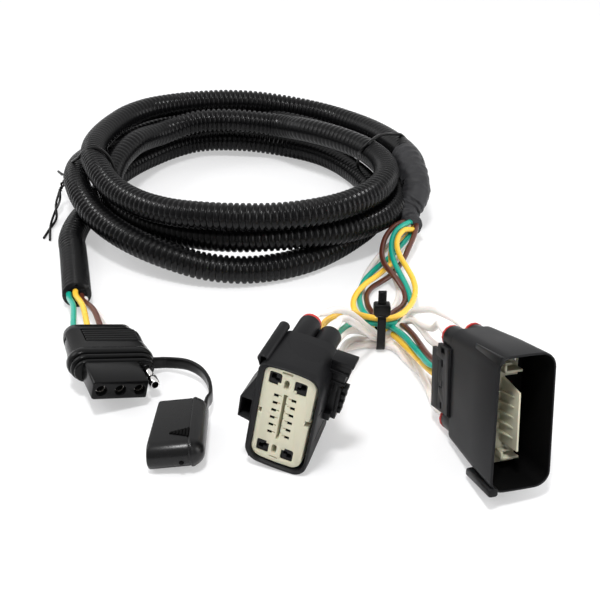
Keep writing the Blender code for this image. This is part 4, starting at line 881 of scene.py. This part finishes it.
    # Side retainer: a top plate, stepped columns and teeth
    side = Shape()
    side.boxes((25.4, 34.2, 14.8, 22.5, 53.4, 55.3), (25.4, 33.2, 15.2, 22.5, 49.9, 53.4),
               (25.4, 33, 14.6, 22.5, 48.6, 49.9), (25.4, 31.6, 15.4, 22, 44, 48.6),
               (25.4, 32, 14.9, 22, 42.9, 44), (25.2, 30.6, 15.6, 21.5, 23, 42.9),
               (26.8, 29.4, 15, 16.5, 38.6, 42.9), (29, 30.9, 15, 20.5, 27, 41.5))
    for i in range(4):
        z = 27.4 + 4.1 * i
        side.box((30.9, 32.4 + 0.35 * i), (15.2, 19.5), (z, z + 2.2))
    side.box((25.2, 28.6), (13.0, 20.0), (23.2, 27.0))
    lower, further, joined = 1.0, 1.2, 26.0  # down by 1 mm, and out from where it joins the shell
    for vert in side.mesh.verts:
        vert.co.z -= lower * MM
        if vert.co.x > joined * MM:
            vert.co.x += further * MM
    made = side.piece("female_retainer", "mould", FEMALE, bevel=0.3, segments=2)
    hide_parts("female_side_retainer")


female()


# Connector with the blades

def male():
    radii = (6.5, 5.5, 5.5, 6.5)
    front = rounded(-0.6, 25.2, -3.2, 56.0, radii, (0.4, 0.3))
    middle = rounded(-0.3, 24.4, -1.6, 55.9, radii, (0.3, 0.2))
    rear = rounded(0.3, 22.6, 2.2, 55.0, (5.5, 5.5, 4.0, 5.0))
    mouth = shrunk(front, 1.0)
    floor = rounded(1.0, 23.4, 0.6, 54.6, (5.0, 4.8, 4.8, 5.0), (0.3, 0.2))
    shell = Shape().along_y([(M_DEPTH, shrunk(rear, 1.0)), (45.2, rear), (22.0, middle), (0.8, front),
                             (0.3, shrunk(front, 0.12)), (0.0, shrunk(front, 0.45)),
                             (0.0, shrunk(mouth, -0.25)), (0.4, mouth), (24.3, floor)])
    splayed(shell)
    body = shell.piece("male_shell", "housing", MALE)
    # Painted shade: faces deep in the mouth and its floor take the near-black painted-shade material
    body.data.materials.append(MATERIALS["painted_shade"])
    back = MALE.matrix().inverted()
    for face in body.data.polygons:
        centre = back @ face.center / MM
        normal = back.to_3x3() @ face.normal
        painted_shade_face = 0.45 < centre.y < 24.5 and normal.x * (12.5 - centre.x) + normal.z * (27.5 - centre.z) > 0
        if painted_shade_face or (abs(centre.y - 24.3) < 0.2 and normal.y < -0.5):
            face.material_index = 1
    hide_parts("male_housing")

    extra = Shape()
    for x, z, top in ((6.0, 48.4, 5.6), (16.8, 48.4, 5.2), (6.0, 9.2, 5.2), (16.8, 9.8, 5.2)):
        stations = ((0, top), (0.95, top - 0.05), (0.99, top - 0.25), (1.0, top - 0.6))
        extra.rod((x, 40.0, z), (x, 54.5, z), stations, 36)
    extra.hexa([(-1.0, -0.9, 53.0), (1.6, -0.9, 54.0), (1.4, 22.8, 54.0), (0.2, 22.8, 53.6),
                (-0.6, -0.9, 56.6), (0.8, -0.9, 56.8), (0.9, 22.8, 55.6), (0.5, 22.8, 55.4)])
    rail = rounded(-1.3, 2.9, -4.6, -0.6, 1.3, steps=4)
    extra.along_y([(23.6, shrunk(rail, 0.9)), (22.6, shrunk(rail, 0.2)), (0.4, rail),
                   (-0.4, shrunk(rail, 0.35))])
    splayed(extra)
    extra.piece("male_fittings", "mould", MALE, bevel=0.25, segments=2)

    # Insert: base, tongue with its ribs, and the brackets beside it
    base = rounded(1.2, 22.8, 0.8, 54.4, (4.9, 4.7, 4.7, 4.9))
    insert = Shape().along_y([(23.3, base), (20.4, base), (20.0, shrunk(base, 0.4))])
    slots = Shape()
    slots.boxes((2.8, 4, 18, 23.5, 44.4, 50.4), (5.4, 8, 18, 23.5, 47.6, 50.6),
                (4.9, 8.6, 18, 23.5, 40.2, 44), (2.2, 4.8, 18, 23.5, 3, 6.4),
                (5, 7.4, 18, 23.5, 6.9, 9), (4.2, 6.2, 18, 23.5, 10, 12.2),
                (13, 25.5, 18, 23.5, 8.6, 40.6), (19, 25.5, 18, 23.5, 0, 56))
    for i in range(6):
        slots.box((5.6, 8.6), (18.0, 23.5), (15.0 + 4.2 * i, 16.6 + 4.2 * i))
    made = insert.piece("male_base", "cream", MALE, bevel=0.15, cut=slots, segments=2)
    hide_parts("male_insert")
    tongue = Shape()
    tongue.hexa([(11.9, 6.2, 11.2), (12.8, 6.2, 11.2), (13.1, 20.4, 11.2), (11.5, 20.4, 11.2),
                 (11.9, 6.2, 37.4), (12.8, 6.2, 37.4), (13.1, 20.4, 40.2), (11.5, 20.4, 40.2)])
    for i in range(5):
        z = 15.6 + 4.6 * i
        rib = ((9.9, 20.2), (11.5, 9.6), (11.9, 9.6), (11.9, 20.2))
        tongue.hexa([(x, y, level) for level in (z, z + 0.9) for x, y in rib])
    for z in (43.6, 4.2):
        tongue.boxes((9.6, 18.2, 14.5, 20.3, z, z + 1.1), (9.6, 10.7, 14.5, 20.3, z, z + 3.6),
                     (9.6, 14.6, 17, 20.3, z + 2.6, z + 3.6))
    tongue.piece("male_tongue", "cream", MALE, bevel=0.2, segments=2)
    # Painted shade: a near-black sheet behind the insert's slots
    painted_shade_boxes = Shape().box((1.6, 23.2), (23.45, 24.2), (1.4, 53.8))
    painted_shade_boxes.piece("male_painted_shade", "painted_shade", MALE)
    blades = Shape()
    for x, z in M_TUBES:
        blades.box((x - 0.4, x + 0.4), (18.4, 23.4), (z - 1.4, z + 1.4))
    made = blades.piece("male_pins", "metal", MALE, bevel=0.15, segments=2)
    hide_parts(*(f"male_blade_{i}" for i in range(1, 5)))

    # Clip plate at the back of the left face
    plate = Shape()
    plate.box((-0.5, 1.4), (44.4, 62.0), (14.0, 42.6))
    plate.hexa([(-0.6, 44.0, 38.0), (1.2, 44.0, 38.0), (1.2, 58.0, 40.0), (-0.6, 58.0, 40.0),
                (-0.6, 44.0, 46.2), (1.2, 44.0, 46.2), (1.2, 56.0, 46.0), (-0.6, 56.0, 46.0)])
    plate.box((-0.9, 0.4), (45.0, 47.2), (14.4, 46.0))
    slots = Shape()
    slots.boxes((-1.4, 2, 51.3, 52.8, 35.6, 39.2), (-1.4, 2, 51.5, 53, 15.4, 18.6),
                (-1.4, 0.6, 49.6, 53.2, 42.2, 44.8), (-0.9, -0.1, 55.6, 55.9, 16, 38),
                (-0.9, -0.1, 51.4, 54.6, 25.6, 26.1), (-0.9, -0.1, 51.4, 51.9, 25.6, 29.2),
                (-0.9, -0.1, 54.2, 54.6, 25.6, 28.2))
    made = plate.piece("male_clip", "housing", MALE, bevel=0.25, cut=slots, segments=2)
    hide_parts("male_clip_plate")


male()


# Flat plug, its pin and its cap on a strap

def stadium(x0, x1, half, steps=10):
    """An outline with round ends, in x and z, level with z 0."""
    points = []
    for centre, start in ((x1 - half, -90), (x0 + half, 90)):
        for i in range(steps + 1):
            angle = math.radians(start + 180 * i / steps)
            points.append([centre + half * math.cos(angle), half * math.sin(angle)])
    return divided(points, 8)


BOOT = (  # depth, left, right and half the height, from the wires' end forward
    (52.2, -18, 15.4, 4.6), (51.8, -18.6, 16, 5.2), (51, -19.2, 16.4, 5.7), (48.6, -19.6, 16.5, 5.8),
    (47.8, -20.1, 16.7, 6), (46.6, -20.2, 18.2, 6), (44.9, -20.3, 19.2, 6), (43, -20.5, 19.4, 6),
    (35, -21.2, 19, 6), (32, -21.6, 19.4, 6.1), (27, -22.4, 19.8, 6.2), (24.8, -22.8, 20, 6.4))
SOCKETS = (-13.9, -4.7, 4.6)
SOCKET_LEVEL = 0.7
PIN_X, PIN_LEVEL, PIN_ROOT, PIN_LENGTH = 13.5, 0.7, 20.4, 20.0
PIN = (  # distance from the root and radius; the last two are the hollow end
    (0, 2), (8, 2), (11.6, 2), (12.3, 1.4), (14, 1.4), (14.6, 2.3), (15, 2.6), (18.6, 2.6),
    (19.4, 2.4), (20, 1.95), (19.9, 1.7), (18.2, 1.65))


def plug():
    boot = Shape().along_y([(y, stadium(left, right, half)) for y, left, right, half in BOOT])
    grip = Shape()
    for sign in (1, -1):
        grip.box((-12.6, 26.0), (34.2, 46.2), sorted((sign * 4.7, sign * 9.0)))
    grip.box((-25.0, -18.8), (42.0, 44.6), (-2.2, 2.2))
    boot.piece("plug_boot", "rubber", PLUG, bevel=0.35, cut=grip)
    ribs = Shape()
    for level in (5.35, -5.35):
        for i in range(5):
            y = 35.8 + 2.2 * i
            stations = ((0, 0.5), (0.01, 0.8), (0.99, 0.8), (1.0, 0.5))
            ribs.rod((-12.0, y, level), (15.2, y, level), stations, 12)
    # Painted sheen: the ribs take the cap's lighter, glossier black instead of the boot's rubber, so they
    # show as light lines
    ribs.piece("plug_ribs", "cap", PLUG)
    collar = Shape()
    for y0, y1, grow in ((20.9, 26.0, 1.6), (17.6, 20.5, 0.8), (14.8, 17.3, -0.2)):
        outline = stadium(-22.3 - grow, 18.2 + grow, 6.3 + grow)
        rings = []
        for i in range(7):
            angle = math.radians(-90 + 180 * i / 6)
            y = (y0 + y1) / 2 + (y1 - y0) / 2 * math.sin(angle)
            rings.append((y, shrunk(outline, 0.9 * (1 - math.cos(angle)))))
        collar.along_y(rings)
    collar.along_y([(25.0, stadium(-21.8, 17.4, 5.4)), (15.2, stadium(-20.8, 16.6, 4.9))])
    collar.piece("plug_collar", "rubber", PLUG)

    block = Shape()
    face = rounded(-18.3, 8.7, -4.1, 5.5, (0.9, 1.6, 1.6, 0.9), steps=4)
    block.along_y([(17.0, face), (-2.6, face), (-3.1, shrunk(face, 0.2)), (-3.3, shrunk(face, 0.6))])
    bores = Shape()
    for x in SOCKETS:
        stations = ((0, 2.9), (0.09, 2.65), (0.10, 2.6), (1, 2.6))
        bores.rod((x, -4.0, SOCKET_LEVEL), (x, 11.0, SOCKET_LEVEL), stations, 28)
    made = block.piece("plug_block", "rubber", PLUG, bevel=0.12, cut=bores, segments=2)
    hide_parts("flat_plug_body")
    sleeves = Shape()
    for x in SOCKETS:
        rings = []
        for y, r in ((10.5, 2.3), (-0.6, 2.3), (-0.9, 2.15), (-0.9, 1.95), (-0.6, 1.8), (10.0, 1.8)):
            centre = Vector((x, y, SOCKET_LEVEL))
            rings.append(circle(centre, X_AXIS, Z_AXIS, r, 24))
        sleeves.loft(rings)
    made = sleeves.piece("plug_sleeves", "metal", PLUG)
    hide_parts(*(f"socket_terminal_{i}" for i in (1, 2, 3)))
    # Painted shade: near-black rods down the socket bores
    painted_shade_boxes = Shape()
    for x in SOCKETS:
        painted_shade_boxes.rod((x, 0.2, SOCKET_LEVEL), (x, 10.2, SOCKET_LEVEL), ((0, 1.85), (1, 1.85)), 20)
    painted_shade_boxes.piece("plug_painted_shade", "painted_shade", PLUG)

    def on_pin(y):
        return (PIN_X, y, PIN_LEVEL)

    pin = Shape()
    pin.rod(on_pin(PIN_ROOT), on_pin(PIN_ROOT - PIN_LENGTH), [(d / PIN_LENGTH, r) for d, r in PIN], 32)
    made = pin.piece("plug_pin", "chrome", PLUG, angle=50.0)
    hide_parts("bullet_pin")
    # Painted shade: a near-black disc in the pin's hollow end
    end = Shape().rod(on_pin(2.9), on_pin(2.0), ((0, 1.7), (1, 1.7)), 24)
    end.piece("plug_pin_painted_shade", "painted_shade", PLUG)
    root = Shape().rod(on_pin(20.0), on_pin(14.0), ((0, 3.4), (0.9, 3.2), (1.0, 2.7)), 28)
    root.piece("plug_pin_root", "rubber", PLUG)


plug()


CAP_STATIONS = (  # x, how much larger the section is and whether it slants, from mouth to end
    (8, -1.7, 0), (-5.9, -1.7, 1), (-6.3, -1.5, 1), (-6.5, -1.2, 1), (-6.6, -0.8, 1), (-6.5, -0.3, 1),
    (-6.2, -0.02, 1), (-5.2, 0, 1), (10.6, 0, 0), (11, -0.12, 0), (11.2, -0.15, 0), (11.5, 0.3, 0),
    (12, 0.45, 0), (12.6, 0.4, 0), (13, 0.1, 0), (13.3, -0.1, 0), (14.1, -0.45, 0), (15.2, -1.2, 0),
    (16.2, -2.1, 0), (17, -3.2, 0), (17.5, -4.4, 0), (17.7, -5.6, 0))
CAP_HALF = 6.7
CAP_FRONT, CAP_REAR = -13.3, 27.5
STRAP_THICK, STRAP_WIDE = 1.0, 3.1  # half the strap's thickness and width


def cap():
    def section(x, grow, slant):
        """A stadium section at x: its round ends are at the front and the rear, in y and z."""
        ring = []
        half = CAP_HALF + grow
        for centre, start in ((CAP_REAR - CAP_HALF, -90), (CAP_FRONT + CAP_HALF, 90)):
            for i in range(13):
                angle = math.radians(start + 15 * i)
                y, z = centre + half * math.cos(angle), CAP_HALF + half * math.sin(angle)
                ring.append((x + slant * (0.075 * y + 0.04 * max(0.0, z - CAP_HALF)), y, z))
        return ring

    shell = Shape().loft([section(*station) for station in CAP_STATIONS])
    made = shell.piece("cap_shell", "cap", CAP, angle=55.0)
    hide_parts("dust_cap")
    wedge = Shape()
    steps, step = 6, 1.45
    for i in range(steps):
        share = (i + 0.5) / steps
        x0, x1 = 2.6 + step * i, 2.6 + step * (i + 1)
        half = 0.35 + 2.9 * share
        middle = -1.8 - 0.5 * share
        wedge.hexa([(x0, middle - half, 13.0), (x1, middle - half, 13.0), (x1, middle + half, 13.0),
                    (x0, middle + half, 13.0), (x0, middle - half * 0.8, 13.75), (x1, middle - half, 14.2),
                    (x1, middle + half, 14.2), (x0, middle + half * 0.8, 13.75)])
    wedge.rod((7.6, -13.0, 5.6), (7.6, -13.8, 5.2), ((0, 1.1), (0.6, 1.1), (1.0, 0.8)), 16)
    # Painted shade: the wedge and the small dot before it are moulded in the cap's plastic but take the
    # near-black painted-shade material
    wedge.piece("cap_wedge", "painted_shade", CAP, bevel=0.12, segments=2)

    route = [PLUG.layout((17.5, 21.4, 0.3)), PLUG.layout((21.0, 20.9, 0.4)), PLUG.layout((25.5, 20.7, 0.6)),
             Vector((-56.0, 28.6, 7.6)), Vector((-49.3, 23.2, 7.7)), Vector((-45.2, 16.3, 7.8)),
             Vector((-43.0, 8.8, 8.0)), Vector((-42.3, 1.2, 7.8)), CAP.layout((16.5, 27.0, 6.8)),
             CAP.layout((16.3, 20.0, 6.8)), CAP.layout((16.1, 12.0, 6.8))]
    line = spaced(smooth(route), 0.8)

    def flat(angle):
        across, along = abs(math.cos(angle)) / STRAP_THICK, abs(math.sin(angle)) / STRAP_WIDE
        return (across ** 4 + along ** 4) ** -0.25

    tube_mesh("cap_strap", line, [flat] * len(line), 32, "tie")


cap()

dress("seal", "female_mat_seal", "male_mat_seal", *(f"male_wire_seal_{i}" for i in range(1, 5)))
